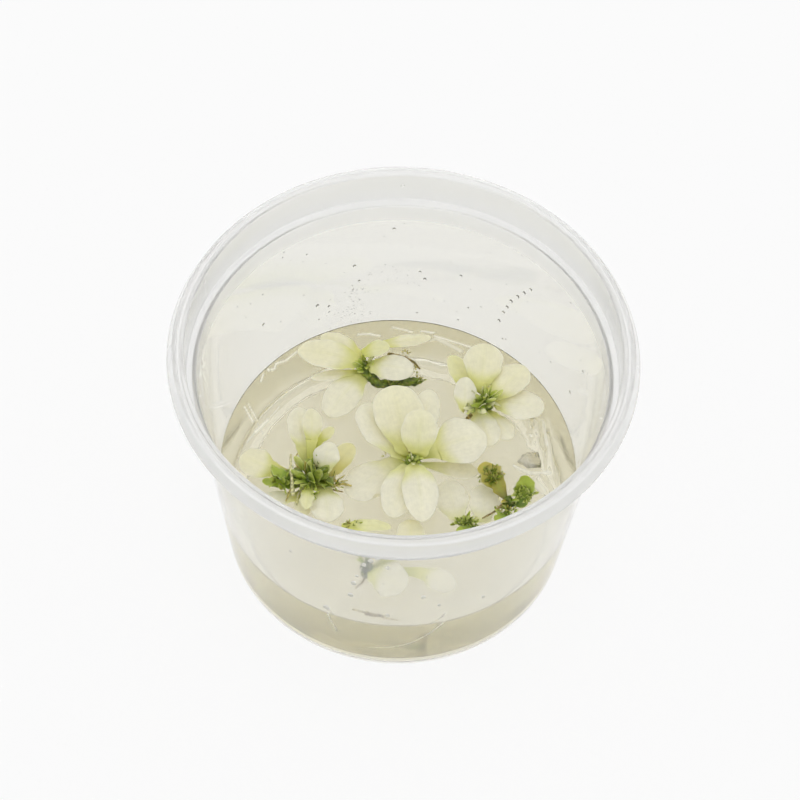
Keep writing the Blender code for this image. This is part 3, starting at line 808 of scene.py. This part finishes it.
@dataclass(frozen=True)
class Tuft:
    """A clump of small crinkled leaflets on a low mound, in millimetres.

    Attributes:
        node: the leaf that it belongs to, or nothing for the rhizome.
        centre, mound: the mound's middle (x, y, height over the gel), and its half sizes.
        count, length: how many leaflets, and their middle length.
        slim: their width as a share of the length.
        tones: their colours, in turn.
    """

    node: str
    centre: Point
    mound: Point
    count: int
    length: float
    slim: float
    tones: tuple[Tone, ...]

    def surfaces(self, seed: int) -> list[Surface]:
        """Spread the leaflets' feet over the upper half of the mound by the golden angle.

        Each is a thin oval section carried outwards along a bent curve to a pointed tip, with a wavy edge.

        Args:
            seed: picks the clump's own numbers.

        Returns:
            The leaflets' skins.
        """
        luck = np.random.default_rng(seed)
        q, angle = np.linspace(0.0, 1.0, LEAFLET_GRID[0])[:, None], round_row(LEAFLET_GRID[1])
        edge = np.cos(angle)
        skins = []
        for number in range(self.count):
            level = 1 - (number + 0.5) / self.count
            heading = GOLDEN_ANGLE * number + luck.uniform(-0.4, 0.4)
            flat = math.sqrt(1 - level**2)
            way = np.array([math.cos(heading) * flat, math.sin(heading) * flat, level])
            foot = lift(self.centre) + way * np.array(self.mound) * luck.uniform(0.55, 1.0)
            ahead = unit(way + luck.normal(0.0, 0.28, 3) + np.array([0.0, 0.0, 0.25]))
            side = unit(np.cross(ahead, luck.normal(0.0, 1.0, 3)))
            out = np.cross(side, ahead)
            length = self.length * luck.uniform(0.65, 1.25)
            half = 0.5 * self.slim * length * np.sqrt(np.clip(4 * q * (1 - q), 0.0, 1.0)) * (1.25 - 0.5 * q) + 0.03
            rise = 0.07 * (1 - 0.6 * q) * np.sin(angle) + 0.35 * half * edge**2
            rise = rise + 0.12 * half * np.sin(9 * q + 2 * edge + luck.uniform(0, 6))
            curve = ahead * length * q + out * luck.uniform(-0.35, 0.35) * length * q**2
            points = carried(foot + curve, side, out, half * edge, rise)
            blade, base, stalk, _ = (np.array(part) for part in self.tones[number % len(self.tones)].value)
            tint = blend(stalk if number % 3 else base, blade, smooth_between(0.0, 0.8, q + 0.0 * angle))
            bands = np.full(len(q) - 1, int(not self.node))
            skins.append(Surface(points, tint * luck.uniform(0.85, 1.2), 0.5 + 0.5 * edge + 0.0 * q, bands))
        return skins


@dataclass(frozen=True)
class Plantlet:
    """A rhizome with its leaves. Sizes in millimetres, heights over the gel.

    Attributes:
        name: the first part of its nodes' names.
        stem: points (x, y, height, radius) of the rhizome.
        crown: (x, y, radius) where the leaves grow.
        dark: how much of the rhizome is dark.
        shoots: small pointed sheaths on the crown: (angle in degrees, lean outwards, length, tone).
    """

    name: str
    stem: tuple[tuple[float, float, float, float], ...]
    crown: Point
    dark: float
    leaves: tuple[Leaf, ...]
    shoots: tuple[tuple[float, float, float, Tone], ...]
    tufts: tuple[Tuft, ...]

    def stem_surface(self) -> Surface:
        """Carry a round section along the smoothed line; sines of the angle and the run swell and colour it.

        Returns:
            The rhizome's skin.
        """
        knots = np.array(self.stem, dtype=float) + [0.0, 0.0, GEL_LEVEL, 0.0]
        run = runs(knots[:, :3])
        fine = np.linspace(0.0, run[-1], STEM_GRID[0])
        line = read_between(fine, run, knots)
        kernel = np.hanning(11)[1:-1] / np.hanning(11)[1:-1].sum()
        padded = np.pad(line, ((4, 4), (0, 0)), mode="reflect", reflect_type="odd")
        line = np.stack([np.convolve(padded[:, axis], kernel, mode="valid") for axis in range(4)], 1)
        angle, step = round_row(STEM_GRID[1]), fine[:, None]
        lumps = 1 + 0.12 * np.sin(3 * angle + 1.3 * step) + 0.09 * np.sin(5 * angle - 2.1 * step)
        lumps = lumps + 0.07 * np.sin(4.5 * step)
        radius = line[:, 3:4] * lumps * np.sqrt(np.clip(1 - (2 * step / run[-1] - 1) ** 8, 0.02, 1.0))
        points = tube(line[:, :3], (0.31, 0.9, 0.29), radius, angle)
        patch = 0.5 + 0.5 * np.sin(2 * angle + 1.7 * step) * np.sin(1.1 * step + 0.6)
        tan = smooth_between(0.55, 0.95, np.sin(3 * angle - 0.9 * step) * np.sin(2.3 * step + 1.0))
        colour = blend(STEM_GREEN, STEM_DARK, np.clip(patch * 0.7 + self.dark - 0.35, 0.0, 1.0))
        return Surface(points, blend(colour, STEM_TAN, 0.6 * tan))

    def tuft_surfaces(self, node: str, seed: int) -> list[Surface]:
        """Skins of the clumps on one leaf, or on the rhizome if the node is nothing."""
        mine = [tuft for tuft in self.tufts if tuft.node == node]
        return [skin for number, tuft in enumerate(mine) for skin in tuft.surfaces(seed + 7 * number)]

    def shoot_surface(self, heading: float, lean: float, length: float, tone: Tone, seed: int) -> Surface:
        """Make one pointed sheath as a small leaf that leans out from the crown.

        Args:
            heading, lean, length, tone: as in the shoots.
            seed: picks its own small waves.

        Returns:
            Its skin, in the rhizome's second finish.
        """
        x, y, radius = self.crown
        turn, height = math.radians(heading), max(point[2] for point in self.stem) - 0.8
        near, far = 0.5 * radius, 0.5 * radius + lean * length
        top = height + length * math.sqrt(max(0.05, 1 - lean * lean))
        base = (x + near * math.cos(turn), y + near * math.sin(turn), height)
        tip = (x + far * math.cos(turn), y + far * math.sin(turn), top)
        sheath = Leaf("", base, tip, 0.32 * length, height, tone, arch=0.1, cup=0.5, ovate=0.3)
        skin = sheath.surface(lift((x, y, height - 0.8)), seed)
        skin.bands = np.ones(len(skin.points) - 1)
        return skin

    def build(self, leaf_finish: Material, stem_finish: Material, seed: int) -> None:
        """Make each leaf and the rhizome in place of their nodes.

        Args:
            leaf_finish, stem_finish: their materials.
            seed: number that this plantlet's waves start from.
        """
        x, y, radius = self.crown
        for number, leaf in enumerate(self.leaves):
            away = np.array([leaf.base[0] - x, leaf.base[1] - y])
            away = away / np.linalg.norm(away) * radius * 0.35
            root = lift((x + away[0], y + away[1], leaf.stalk - 0.3))
            node = f"{self.name}_leaf_{leaf.node}"
            slot = "green_leaf" if leaf.tone in (OLIVE, GREEN, DARK) else "white_leaf"
            skins = [leaf.surface(root, seed + number)] + self.tuft_surfaces(leaf.node, seed + number)
            build_piece(f"{node}_blade", skins, [leaf_finish], slot, node)
        skins = [self.stem_surface()] + self.tuft_surfaces("", seed)
        skins += [self.shoot_surface(*shoot, seed + 50 + number) for number, shoot in enumerate(self.shoots)]
        build_piece(f"{self.name}_rhizome_skin", skins, [stem_finish, leaf_finish], "rhizome", f"{self.name}_rhizome")


def upright(foot: Pair, top: Pair, height: float, radius: float) -> tuple[tuple[float, float, float, float], ...]:
    """Points (x, y, height, radius) of an upright rhizome, rooted in the gel and thickest half way up."""
    middle = ((foot[0] + top[0]) / 2, (foot[1] + top[1]) / 2, height / 2, radius)
    return (*foot, -1.4, 0.3 * radius), (*foot, 0.0, 0.75 * radius), middle, (*top, height, 0.45 * radius)


BACK_LEFT_STEM = (
    (-9.2, 25.4, 4.6, 0.9), (-9, 25, 3, 1.6), (-8, 23.4, 1.7, 1.3), (-5.5, 21.2, 1.4, 1),
    (-1.5, 21.6, 1.4, 0.9), (2.5, 22.4, 1.5, 1.1), (4.9, 22.8, 1.6, 0.9),
)
PLANTLETS = (
    Plantlet("back_left", BACK_LEFT_STEM, (-9, 25, 1.6), 0.55, (
        Leaf("left", (-11.3, 25.7, 3.8), (-25.1, 27.7, 4.4), 8.2, 3.8, CREAM, 0.6, ovate=0.1),
        Leaf("back", (-11.5, 29.4, 2), (-20, 34.3, 1.6), 5.5, 2.2, CREAM, 0.3, ovate=0.1),
        Leaf("low_left", (-12.6, 23.8, 1.9), (-21.6, 21.9, 1.5), 2.8, 1.9, arch=0.2),
        Leaf("centre", (-9.4, 26.9, 5.6), (-3.4, 27.6, 7.4), 5.8, 5, LIME, roll=15, cup=0.1),
        Leaf("far_right", (-4.8, 32, 2.6), (6.3, 34.7, 2.6), 3.6, 2.8, CREAM, 0.3),
        Leaf("right", (-7, 24, 5), (2.4, 22.6, 5.6), 7.6, 4.2, arch=0.8, cup=-0.08),
        Leaf("front", (-10.2, 22.6, 1.6), (-16.7, 11.7, 0.9), 8.4, 1.8),
    ), ((200, 0.6, 3, BRIGHT), (30, 0.5, 2.6, LIME), (280, 0.7, 2.8, BRIGHT)), (
        Tuft("", (-8.7, 24.2, 3.2), (1.4, 1, 0.8), 14, 2.2, 0.45, (BRIGHT, GREEN, DARK)),
        Tuft("", (-1.7, 21.2, 1.6), (2.2, 0.8, 0.9), 26, 0.7, 0.6, (DARK, OLIVE, DARK, GREEN)),
        Tuft("", (3.9, 22.6, 1.6), (1.2, 1, 0.9), 18, 0.7, 0.6, (OLIVE, DARK, YELLOW)),
        Tuft("", (2.8, 25.7, 1.2), (0.7, 1.2, 0.6), 14, 0.7, 0.6, (OLIVE, YELLOW, DARK)),
        Tuft("far_right", (0.4, 30.9, 0.9), (1.2, 0.5, 0.5), 10, 0.6, 0.6, (OLIVE, YELLOW)),
        Tuft("left", (-16.3, 23.9, 3.6), (0.9, 0.5, 0.4), 7, 0.8, 0.5, (DARK, OLIVE)),
    )),
    Plantlet("back_right", upright((19.4, 16.6), (19.6, 16.6), 5.8, 2), (19.5, 16.6, 1.9), 0.4, (
        Leaf("back", (18.4, 20.2, 5.2), (18.8, 29.6, 8.2), 9.2, 4.6, CREAM, 0.5, ovate=-0.1),
        Leaf("far_right", (21.3, 17.8, 4.4), (28.6, 25.2, 6), 7.8, 3.6, CREAM, 0.5, ovate=-0.1),
        Leaf("right", (22.6, 16.8, 3), (33.3, 15.2, 3.4), 8.4, 3.2, arch=0.6, cup=-0.08),
        Leaf("far_left", (15.6, 19.4, 3), (11.3, 29, 3.6), 6, 3.2, LIME, roll=-15),
        Leaf("left", (14.8, 14, 4.4), (14.6, 21, 6.4), 5.2, 4.6, arch=0.2, fold=0.35, ovate=0.2),
        Leaf("front", (18.4, 14, 2.2), (21.5, 5.7, 1.2), 7, 2.2, arch=0.3),
        Leaf("low_right", (21.4, 14.2, 0.9), (26.1, 8.4, 0.7), 5.2, 0.9, arch=0.1),
    ), ((250, 0.3, 2.6, BRIGHT), (120, 0.3, 2.4, LIME), (10, 0.6, 3, BRIGHT)), (
        Tuft("", (19.6, 15.6, 4.6), (1.8, 1.6, 0.8), 18, 3.2, 0.4, (BRIGHT, LIME, BRIGHT, GREEN)),
        Tuft("", (17.8, 14.2, 4.2), (1.2, 1, 0.6), 8, 3, 0.5, (LIME, BRIGHT)),
    )),
    Plantlet("centre", upright((3.2, -1.1), (3.4, -0.9), 6.2, 1.8), (3.3, -1, 1.7), 0.3, (
        Leaf("left", (0.4, 1.7, 3.4), (-9.3, 13, 4.4), 9.8, 3.2, arch=0.6, cup=-0.05),
        Leaf("back", (1.8, 1.6, 5), (-2.3, 16.2, 8.4), 11.6, 4.4, CREAM, 0.8, -0.05, ovate=-0.2),
        Leaf("back_right", (4, 4, 2.8), (6.6, 18.6, 4), 6.4, 2.4, cup=-0.05, ovate=-0.1),
        Leaf("middle", (4.4, -0.4, 6.6), (5, 7.4, 12.2), 8.4, 5.6, CREAM, 0.5, 0.3, dark=0.12),
        Leaf("right", (8.8, 2.8, 3.6), (19.8, 6.6, 4.4), 12.6, 3.6, arch=0.8, cup=-0.05, ovate=0.1),
        Leaf("front_left", (2.2, -3, 3.4), (-0.8, -15.8, 2.8), 8.4, 3.4, arch=0.8, ovate=0.1),
        Leaf("front_right", (3.8, -3.6, 5), (6, -17.5, 4.6), 8.2, 4.8, arch=0.8, ovate=0.1),
        Leaf("sunk_left", (-2.1, -0.8, 0.1), (-11.1, -9, 0.05), 9.4, 2, SUNK, 0.05),
        Leaf("sunk_right", (9.6, -0.2, 0.1), (18.5, -0.9, 0.05), 4.8, 2.2, SUNK, 0.05),
    ), ((260, 0.2, 2, LIME), (140, 0.6, 2.6, OLIVE), (40, 0.7, 2.8, OLIVE)), (
        Tuft("", (3.7, -1.9, 5.2), (1.3, 0.9, 0.6), 12, 1.6, 0.5, (BRIGHT, LIME, GREEN)),
        Tuft("left", (-2, 1.9, 0.7), (1.8, 0.8, 0.2), 7, 1.4, 0.4, (LIME, YELLOW)),
    )),
    Plantlet("left", upright((-20.1, -7.2), (-20.3, -7.4), 5.2, 2), (-20.2, -7.3, 1.9), 0.45, (
        Leaf("far_left", (-28.6, -5, 3.4), (-36, -2.4, 4.2), 7.8, 3, CREAM, 0.6, -0.05),
        Leaf("back_left", (-21.9, 1.3, 3.4), (-24, 10.3, 6), 6.2, 2.6, arch=0.5, cup=0.1),
        Leaf("back", (-20.2, 2.2, 5.4), (-20.4, 9, 8), 5, 4.4, CREAM, roll=-25, cup=0.1),
        Leaf("right", (-16.8, -4.6, 4.4), (-15.4, 1.1, 6.4), 6.6, 4, roll=14, ovate=0.25),
        Leaf("far_right", (-14, -3, 1.6), (-10.9, 3.5, 2.4), 5, 1.4, YELLOW, 0.2, 0.15),
        Leaf("small", (-18.3, 4.3, 2), (-15.5, 7.8, 2.4), 2.8, 1.8, LIME, 0.2),
        crinkled("green_up", (-18.8, -3.4, 3), (-18.6, -0.2, 4), 2.2, 3, DARK, arch=0),
        crinkled("green_left", (-24.6, -8, 4.6), (-28.5, -6.6, 6), 2.6, 4, GREEN),
        crinkled("green_low", (-24.6, -8.9, 2.8), (-30.7, -7.9, 2.8), 2.6, 2.4, GREEN),
        crinkled("green_right", (-17.8, -7.6, 3.4), (-14.4, -8.3, 3.6), 3, 3.4, DARK),
        crinkled("green_front", (-20, -10.2, 4.4), (-20.3, -15.6, 4.2), 3.2, 4.2, LIME),
        Leaf("front", (-16.6, -9.8, 2.8), (-15.3, -17.6, 2.6), 7.6, 2.2, arch=0.5, cup=-0.08),
        Leaf("front_left", (-23.6, -11, 1.4), (-30.6, -12.6, 1.8), 4, 1.6, arch=0.3),
        Leaf("low", (-21.8, -10.6, 1.2), (-20.9, -15.8, 1), 3.8, 1, CREAM, 0.2),
    ), ((20, 0.8, 4, DARK), (75, 0.5, 4.2, DARK), (185, 0.8, 3.6, GREEN), (300, 0.7, 3.4, GREEN),
        (110, 0.5, 3.4, OLIVE)), (
        Tuft("green_left", (-26.4, -8.3, 3.8), (2.1, 1.4, 0.7), 16, 2.8, 0.55, (GREEN, DARK, GREEN)),
        Tuft("", (-19.6, -7.5, 4), (2.8, 2.6, 0.9), 30, 3.6, 0.5, (GREEN, DARK, GREEN, BRIGHT)),
        Tuft("green_up", (-18.6, -2.9, 3.4), (1.1, 1.6, 0.7), 14, 2, 0.4, (DARK, GREEN, OLIVE)),
        Tuft("green_right", (-14.9, -6.6, 1.3), (2.2, 1.5, 0.7), 30, 1.7, 0.22, (OLIVE, YELLOW, DARK)),
        Tuft("green_front", (-19.8, -11, 3), (1.3, 1.2, 0.6), 14, 1.6, 0.42, (BRIGHT, GREEN)),
    )),
    Plantlet("right", upright((25.2, -9.6), (25.4, -9.8), 3.8, 1.5), (25.3, -9.7, 1.43), 0.6, (
        crinkled("cup", (23.2, -6.8, 2.6), (19, -0.9, 3.8), 5.6, 2.2, OLIVE, arch=0.3, dark=0.6),
        crinkled("curl", (28.4, -9.4, 2.2), (28.9, -4.9, 6), 4.6, 1.8, GREEN, cup=0.4),
        crinkled("low", (24.9, -13.3, 2), (22.3, -14.7, 1.8), 2.8, 1.8, GREEN),
    ), ((230, 0.7, 3, OLIVE), (330, 0.7, 2.8, GREEN)), (
        Tuft("cup", (21.4, -3.8, 3.3), (2.3, 2.3, 0.7), 90, 1, 0.6, (DARK, OLIVE, GREEN, DARK)),
        Tuft("curl", (28.9, -8.3, 3.4), (1.9, 2.2, 1.2), 60, 1.3, 0.5, (BRIGHT, GREEN, BRIGHT)),
        Tuft("low", (25, -12.2, 1.8), (2.4, 1.4, 0.7), 60, 0.9, 0.5, (OLIVE, GREEN, BRIGHT, DARK)),
    )),
    Plantlet("front", upright((-6, -28.2), (-5.6, -27.8), 4.8, 1.6), (-5.8, -28, 1.52), 0.8, (
        Leaf("narrow", (-11, -18.4, 2.2), (-0.9, -17.8, 1.8), 3.6, 2.4, LIME, roll=10, cup=0.1),
        Leaf("back", (3.4, -22, 1.6), (3.2, -15.3, 1.4), 6.2, 1.6, CREAM, 0.2),
        Leaf("right", (-4, -29.6, 2.8), (2.8, -32.9, 2.6), 8.6, 3, cup=-0.05),
        Leaf("far_right", (6.8, -28.2, 1.2), (13.6, -31.4, 1), 5.6, 1.4, arch=0.3),
    ), ((90, 0.5, 3, DARK), (180, 0.6, 2.6, GREEN)), (
        Tuft("narrow", (-9.6, -17.8, 1.8), (1.9, 0.9, 0.5), 20, 1.2, 0.4, (DARK, OLIVE, GREEN)),
    )),
    Plantlet("front_right", upright((15.8, -15.5), (15.6, -15.3), 3, 1.4), (15.7, -15.4, 1.33), 0.4, (
        Leaf("left", (13.8, -13, 0.1), (11.6, -3.7, 0.05), 7.6, 1.4, SUNK, 0.05),
        Leaf("right", (19.7, -13, 0.1), (19.7, -4.2, 0.05), 7.2, 1.4, SUNK, 0.05),
        crinkled("bud", (17.9, -18, 2.7), (13.6, -18.8, 2.9), 2.6, 1.8, GREEN, cup=0.3),
    ), ((60, 0.6, 2.2, GREEN), (350, 0.7, 2, GREEN)), (
        Tuft("bud", (15.7, -16.2, 2.6), (2.6, 1.4, 0.8), 70, 1, 0.5, (BRIGHT, GREEN, DARK)),
    )),
)


@dataclass(frozen=True)
class Root:
    """A thin root or smear, or a white line painted as a highlight, through points (x, y, height over the gel), in
    millimetres.
    """

    radius: float
    colour: Colour
    points: tuple[Point, ...]
    node: str = ""

    def surface(self) -> Surface:
        """Carry a round section, tapering to its tip and slightly uneven, along the smoothed line.

        Returns:
            The root's skin.
        """
        knots = np.array(self.points, dtype=float)
        fine = np.linspace(0.0, 1.0, ROOT_GRID[0])
        line = read_between(fine, np.linspace(0.0, 1.0, len(knots)), knots)
        for _ in range(12):
            line[1:-1] = (line[:-2] + 2 * line[1:-1] + line[2:]) / 4
        line[:, 2] += GEL_LEVEL
        angle, step = round_row(ROOT_GRID[1]), fine[:, None]
        radius = self.radius * (1 - 0.45 * step) * (1 + 0.12 * np.sin(19 * step) + 0.08 * np.sin(41 * step + angle))
        points = tube(line, (0.2, 0.35, 0.9), radius, angle)
        return Surface(points, np.broadcast_to(np.array(self.colour), points.shape))


TAN = linear(200, 186, 110)
PALE_ROOT = linear(222, 218, 170)
SMEAR = linear(162, 150, 114)
SMEAR_EDGE = linear(196, 186, 152)
# Pure white threads in the gel at the front: painted highlights, standing for the bright lines seen there.
PAINTED_BRIGHT_LINE = linear(255, 255, 255)
OLIVE_BROWN = linear(146, 130, 76)

ROOTS = (
    Root(0.42, PALE_ROOT, ((-23.4, -11.6, 3.2), (-24.2, -6.7, 6.6), (-24.6, -2.6, 4.8), (-24.8, 0.4, 1.2)),
         "left_root_long"),
    Root(0.42, TAN, ((-17.4, -8.6, 0.9), (-14.6, -7.2, 1.1), (-12.2, -6.4, 0.9), (-10.4, -6.8, 0.8)),
         "left_root_right"),
    Root(0.4, OLIVE_BROWN, ((-3.8, 30.2, 1.2), (-0.2, 29.4, 1.6), (2.4, 27.8, 2), (4, 25.8, 2)), "back_left_root"),
)
FINE_ROOTS = (
    Root(0.3, TAN, ((-22, -7, 3), (-24, -9.6, 3.4), (-25, -12.4, 1.8))),
    Root(0.3, PALE_ROOT, ((-21, -8.6, 3.2), (-22.4, -11, 2.6), (-22.6, -14, 0.6))),
    Root(0.3, TAN, ((-18.8, -8.2, 2.6), (-15.6, -6, 2.8), (-13, -7, 1.4))),
    Root(0.28, OLIVE_BROWN, ((-18.6, -6.6, 2.8), (-15.8, -8.6, 2), (-12.4, -8.4, 0.6))),
    Root(0.28, TAN, ((-19, -5.8, 3), (-16.2, -4.6, 2.2), (-13.6, -5.6, 0.4))),
    Root(0.3, TAN, ((-21.6, -6.2, 3.4), (-23, -4.4, 4.2), (-23.6, -1.4, 2.8), (-23.4, 1.6, 0.2))),
    Root(0.35, OLIVE_BROWN, ((3.8, -1, -0.5), (4.6, -3, -6), (4, -5, -11))),
    Root(0.35, OLIVE_BROWN, ((-6, -28.4, -0.5), (-6.6, -29.2, -3.5), (-8, -29.8, -5.5))),
    Root(0.3, OLIVE_BROWN, ((24, -10.6, 2.2), (22, -12.6, 1.8), (19.6, -13.4, 0.4))),
    Root(0.65, OLIVE_BROWN, ((16.6, 13.5, 1.9), (15.9, 13, 1.7), (15.3, 12.6, 1.2))),
    Root(0.24, SMEAR_EDGE, ((-8.4, -37.4, 0.2), (-6.6, -37.9, 0.3), (-4.6, -38.3, 0.25))),
    Root(0.5, SMEAR, ((-5.6, -38.2, 0.3), (-3.9, -38.7, 0.35), (-2, -38.7, 0.3))),
    Root(0.36, SMEAR, ((-1.4, -39, 0.2), (-2.9, -38.5, 0.3), (-4.6, -38.6, 0.2))),
    Root(0.22, SMEAR_EDGE, ((-3, -38.6, 0.2), (-0.6, -39.3, 0.25), (1.8, -39.6, 0.2))),
    # Painted highlights: pure white threads along bright lines in the gel at the front.
    Root(0.2, PAINTED_BRIGHT_LINE, ((-13.6, -37.2, -0.4), (-13, -37.4, -3.5), (-11.8, -37.6, -8), (-11.4, -37.2, -9.5))),
    Root(0.2, PAINTED_BRIGHT_LINE, ((11.8, -37, -0.4), (10.6, -37.8, -2.8), (8.4, -38.2, -6.5), (4.6, -38.4, -11),
                      (0, -38.6, -13.6), (-4.3, -38.4, -14.4))),
)


@dataclass(frozen=True)
class Droplets:
    """Condensed water on the inside of the cup's wall, in millimetres and degrees.

    The placed drops are (angle, height, radius). The mist is bell-shaped clouds of very fine drops, (angle, height,
    how many). The scattered ones lie anywhere under the highest, and each rim is let into the wall by sunk.
    """

    cup: Cup
    placed: tuple[Point, ...]
    mist: tuple[tuple[float, float, int], ...] = ((108.0, 35.0, 45), (108.0, 27.8, 45), (96.0, 40.0, 25))
    scattered: int = 170
    highest: float = 61.5
    sunk: float = 0.05
    seed: int = 7

    def spots(self) -> Array:
        """List the drops: the placed ones, then the scattered ones and the mist.

        Returns:
            Angle, height and radius of each.
        """
        luck = np.random.default_rng(self.seed)
        lowest = GEL_LEVEL + 2.5
        angle = luck.uniform(0.0, 360.0, self.scattered)
        height = lowest + (self.highest - lowest) * luck.uniform(0.0, 1.0, self.scattered)
        size = 0.12 + 0.16 * luck.uniform(0.0, 1.0, self.scattered) ** 3
        spots = [np.array(self.placed), np.stack([angle, height, size], 1)]
        for angle, height, count in self.mist:
            around, above = luck.normal(angle, 4.0, count), luck.normal(height, 2.0, count)
            spots.append(np.stack([around, np.maximum(above, GEL_LEVEL + 1.0), luck.uniform(0.07, 0.16, count)], 1))
        return np.vstack(spots)

    def surface(self, angle: float, height: float, size: float) -> Surface:
        """One drop: a flat dome, size cos(b) wide and 0.95 size sin(b) high; a large one in front has a pale rim, a
        painted highlight.

        Args:
            angle, height, size: its place round the cup and up the wall, and its radius.

        Returns:
            The skin.
        """
        cup, turn = self.cup, math.radians(angle)
        radius = cup.inner(height) if height < cup.height - cup.ledge_depth else cup.collar
        slope = (cup.ledge + cup.wall - cup.base) / (cup.height - cup.ledge_depth)
        inward = unit(np.array([-math.cos(turn), -math.sin(turn), slope]))
        side = np.array([-math.sin(turn), math.cos(turn), 0.0])
        up = np.cross(side, inward) * -1.0
        centre = np.array([radius * math.cos(turn), radius * math.sin(turn), height]) - inward * self.sunk
        rise, round_about = np.linspace(0.0, 0.47 * np.pi, DROP_GRID[0])[:, None], round_row(DROP_GRID[1])
        flat = size * np.cos(rise)
        points = carried(centre, side, up, flat * np.cos(round_about), 1.15 * flat * np.sin(round_about))
        points = points + (self.sunk + 0.95 * size * np.sin(rise) + 0.0 * round_about)[..., None] * inward
        # Painted highlight: a large drop in front gets a pale, less clear rim.
        painted_highlight = 0.45 if angle < 0.0 and size > 0.3 else 0.0
        return Surface(points, np.ones(points.shape) - painted_highlight * smooth_between(0.75, 0.25, rise)[..., None])

    def build(self) -> None:
        """Make all drops as one piece."""
        build_piece("wall_droplets", [self.surface(*spot) for spot in self.spots()], [WATER.build()], "gel")


PLACED_DROPS = (
    (49, 49.3, 0.42), (51, 46.8, 0.45), (53, 44.3, 0.45), (55, 41.5, 0.48), (56, 38.8, 0.42),
    (57, 36.4, 0.4), (58, 32.8, 0.42), (107, 44.1, 0.42), (120, 34, 0.45), (141, 38.7, 0.4), (116, 32.3, 0.36),
    (-102, 36.4, 0.6), (-101, 42.9, 0.6), (-98, 53.1, 0.55), (-96.2, 55.5, 0.55), (-94.4, 57.4, 0.6),
    (-91.5, 53, 0.5), (-91, 28.5, 0.45), (-81, 38, 0.5), (-76, 32.7, 0.4), (-110, 25.6, 0.65),
    (-143, 43.5, 0.4), (-146, 39.5, 0.4), (-120, 47, 0.35), (-62, 30.3, 0.4), (-100, 47, 0.35),
    (-99, 50, 0.3), (94.8, 55.3, 0.4), (105.6, 38.6, 0.35), (86.1, 41.1, 0.35), (84.4, 38.8, 0.4),
    (73, 42.5, 0.35), (18.4, 44.7, 0.4), (22, 33.2, 0.4), (92.6, 67.6, 0.5),
)


@dataclass(frozen=True)
class Studio:
    """Floor, soft light and the camera at the photo's angle.

    The sky's strength goes from horizon to zenith with a power of the height. The camera's angles are in degrees,
    its shifts and distance from the middle of the table in millimetres, its focal length in the photo's pixels.
    """

    floor_size: float = 4.0
    floor_shade: float = 0.08
    floor_glow: float = 0.885
    zenith: float = 1.12
    horizon: float = 0.36
    spread: float = 0.6
    climb: float = 56.11
    roll: float = 2.84
    shift_x: float = -0.35
    shift_up: float = 27.74
    distance: float = 473.2
    focal_pixels: float = 1970.0
    picture: float = 800.0
    sensor: float = 36.0
    bounces: int = 28

    def sky(self) -> None:
        """Light the world: brightest overhead, dimmer at the horizon, as in a room with a soft ceiling light."""
        world = bpy.data.worlds.new("soft_room")
        bpy.context.scene.world = world
        sheet = NodeSheet(world, "Background")
        upwards = sheet.add("SeparateXYZ", "Z", Vector=sheet.add("TexCoord", "Generated"))
        height = sheet.maths("POWER", upwards, self.spread, use_clamp=True)
        sheet.set(Color=(1.0, 1.0, 1.0, 1.0), Strength=sheet.ramp(height, 0.0, 1.0, self.horizon, self.zenith))

    def floor(self) -> None:
        """Lay the plain pale floor."""
        half, shade = self.floor_size / 2, self.floor_shade
        mesh = bpy.data.meshes.new("floor")
        mesh.from_pydata([(-half, -half, 0), (half, -half, 0), (half, half, 0), (-half, half, 0)], [], [(0, 1, 2, 3)])
        sheet = NodeSheet(bpy.data.materials.new("pale_floor"))
        sheet.set(Base_Color=(shade, shade, shade, 1.0), Roughness=0.9, Specular_IOR_Level=0.1)
        sheet.set(Emission_Color=(1.0, 1.0, 1.0, 1.0), Emission_Strength=self.floor_glow)
        mesh.materials.append(sheet.owner)
        floor = bpy.data.objects.new("floor", mesh)
        bpy.context.scene.collection.objects.link(floor)

    def camera(self) -> None:
        """Stand the camera where the photo was taken from: turned up by climb, rolled, and slid sideways and up."""
        climb, roll = math.radians(self.climb), math.radians(self.roll)
        right = Vector((1.0, 0.0, 0.0))
        up = Vector((0.0, math.sin(climb), math.cos(climb)))
        back = Vector((0.0, -math.cos(climb), math.sin(climb)))
        place = (right * self.shift_x + up * self.shift_up + back * self.distance) * MM
        turned_right = right * math.cos(roll) + up * math.sin(roll)
        turned_up = up * math.cos(roll) - right * math.sin(roll)
        lens = bpy.data.cameras.new("camera")
        lens.sensor_width = self.sensor
        lens.lens = self.focal_pixels * self.sensor / self.picture
        lens.clip_start = 0.01
        camera = bpy.data.objects.new("camera", lens)
        axes = Matrix((turned_right, turned_up, back)).transposed().to_4x4()
        camera.matrix_world = Matrix.Translation(place) @ axes
        bpy.context.scene.collection.objects.link(camera)
        bpy.context.scene.camera = camera

    def build(self) -> None:
        """Set up floor, light, camera and how light is followed."""
        self.sky()
        self.floor()
        self.camera()
        bpy.context.scene.view_settings.view_transform = "Standard"
        cycles = bpy.context.scene.cycles
        cycles.max_bounces = cycles.transmission_bounces = self.bounces
        cycles.glossy_bounces = 12
        cycles.diffuse_bounces = 6
        cycles.blur_glossy = 0.0
        cycles.use_denoising = True


def main() -> None:
    """Build every sub-assembly in order."""
    logging.basicConfig(level=logging.INFO, format="%(message)s")
    Studio().build()
    cup = Cup()
    cup.build()
    Gel(cup).build()
    GelLump().build()
    leaf_finish, stem_finish, root_finish = LEAF.build(), STEM.build(), ROOT.build()
    for number, plantlet in enumerate(PLANTLETS):
        plantlet.build(leaf_finish, stem_finish, 100 * (number + 1))
    for root in ROOTS:
        build_piece(f"{root.node}_hair", [root.surface()], [root_finish], "root", root.node)
    build_piece("fine_roots", [root.surface() for root in FINE_ROOTS], [root_finish], "root")
    Droplets(cup, PLACED_DROPS).build()


if __name__ == "__main__":
    main()
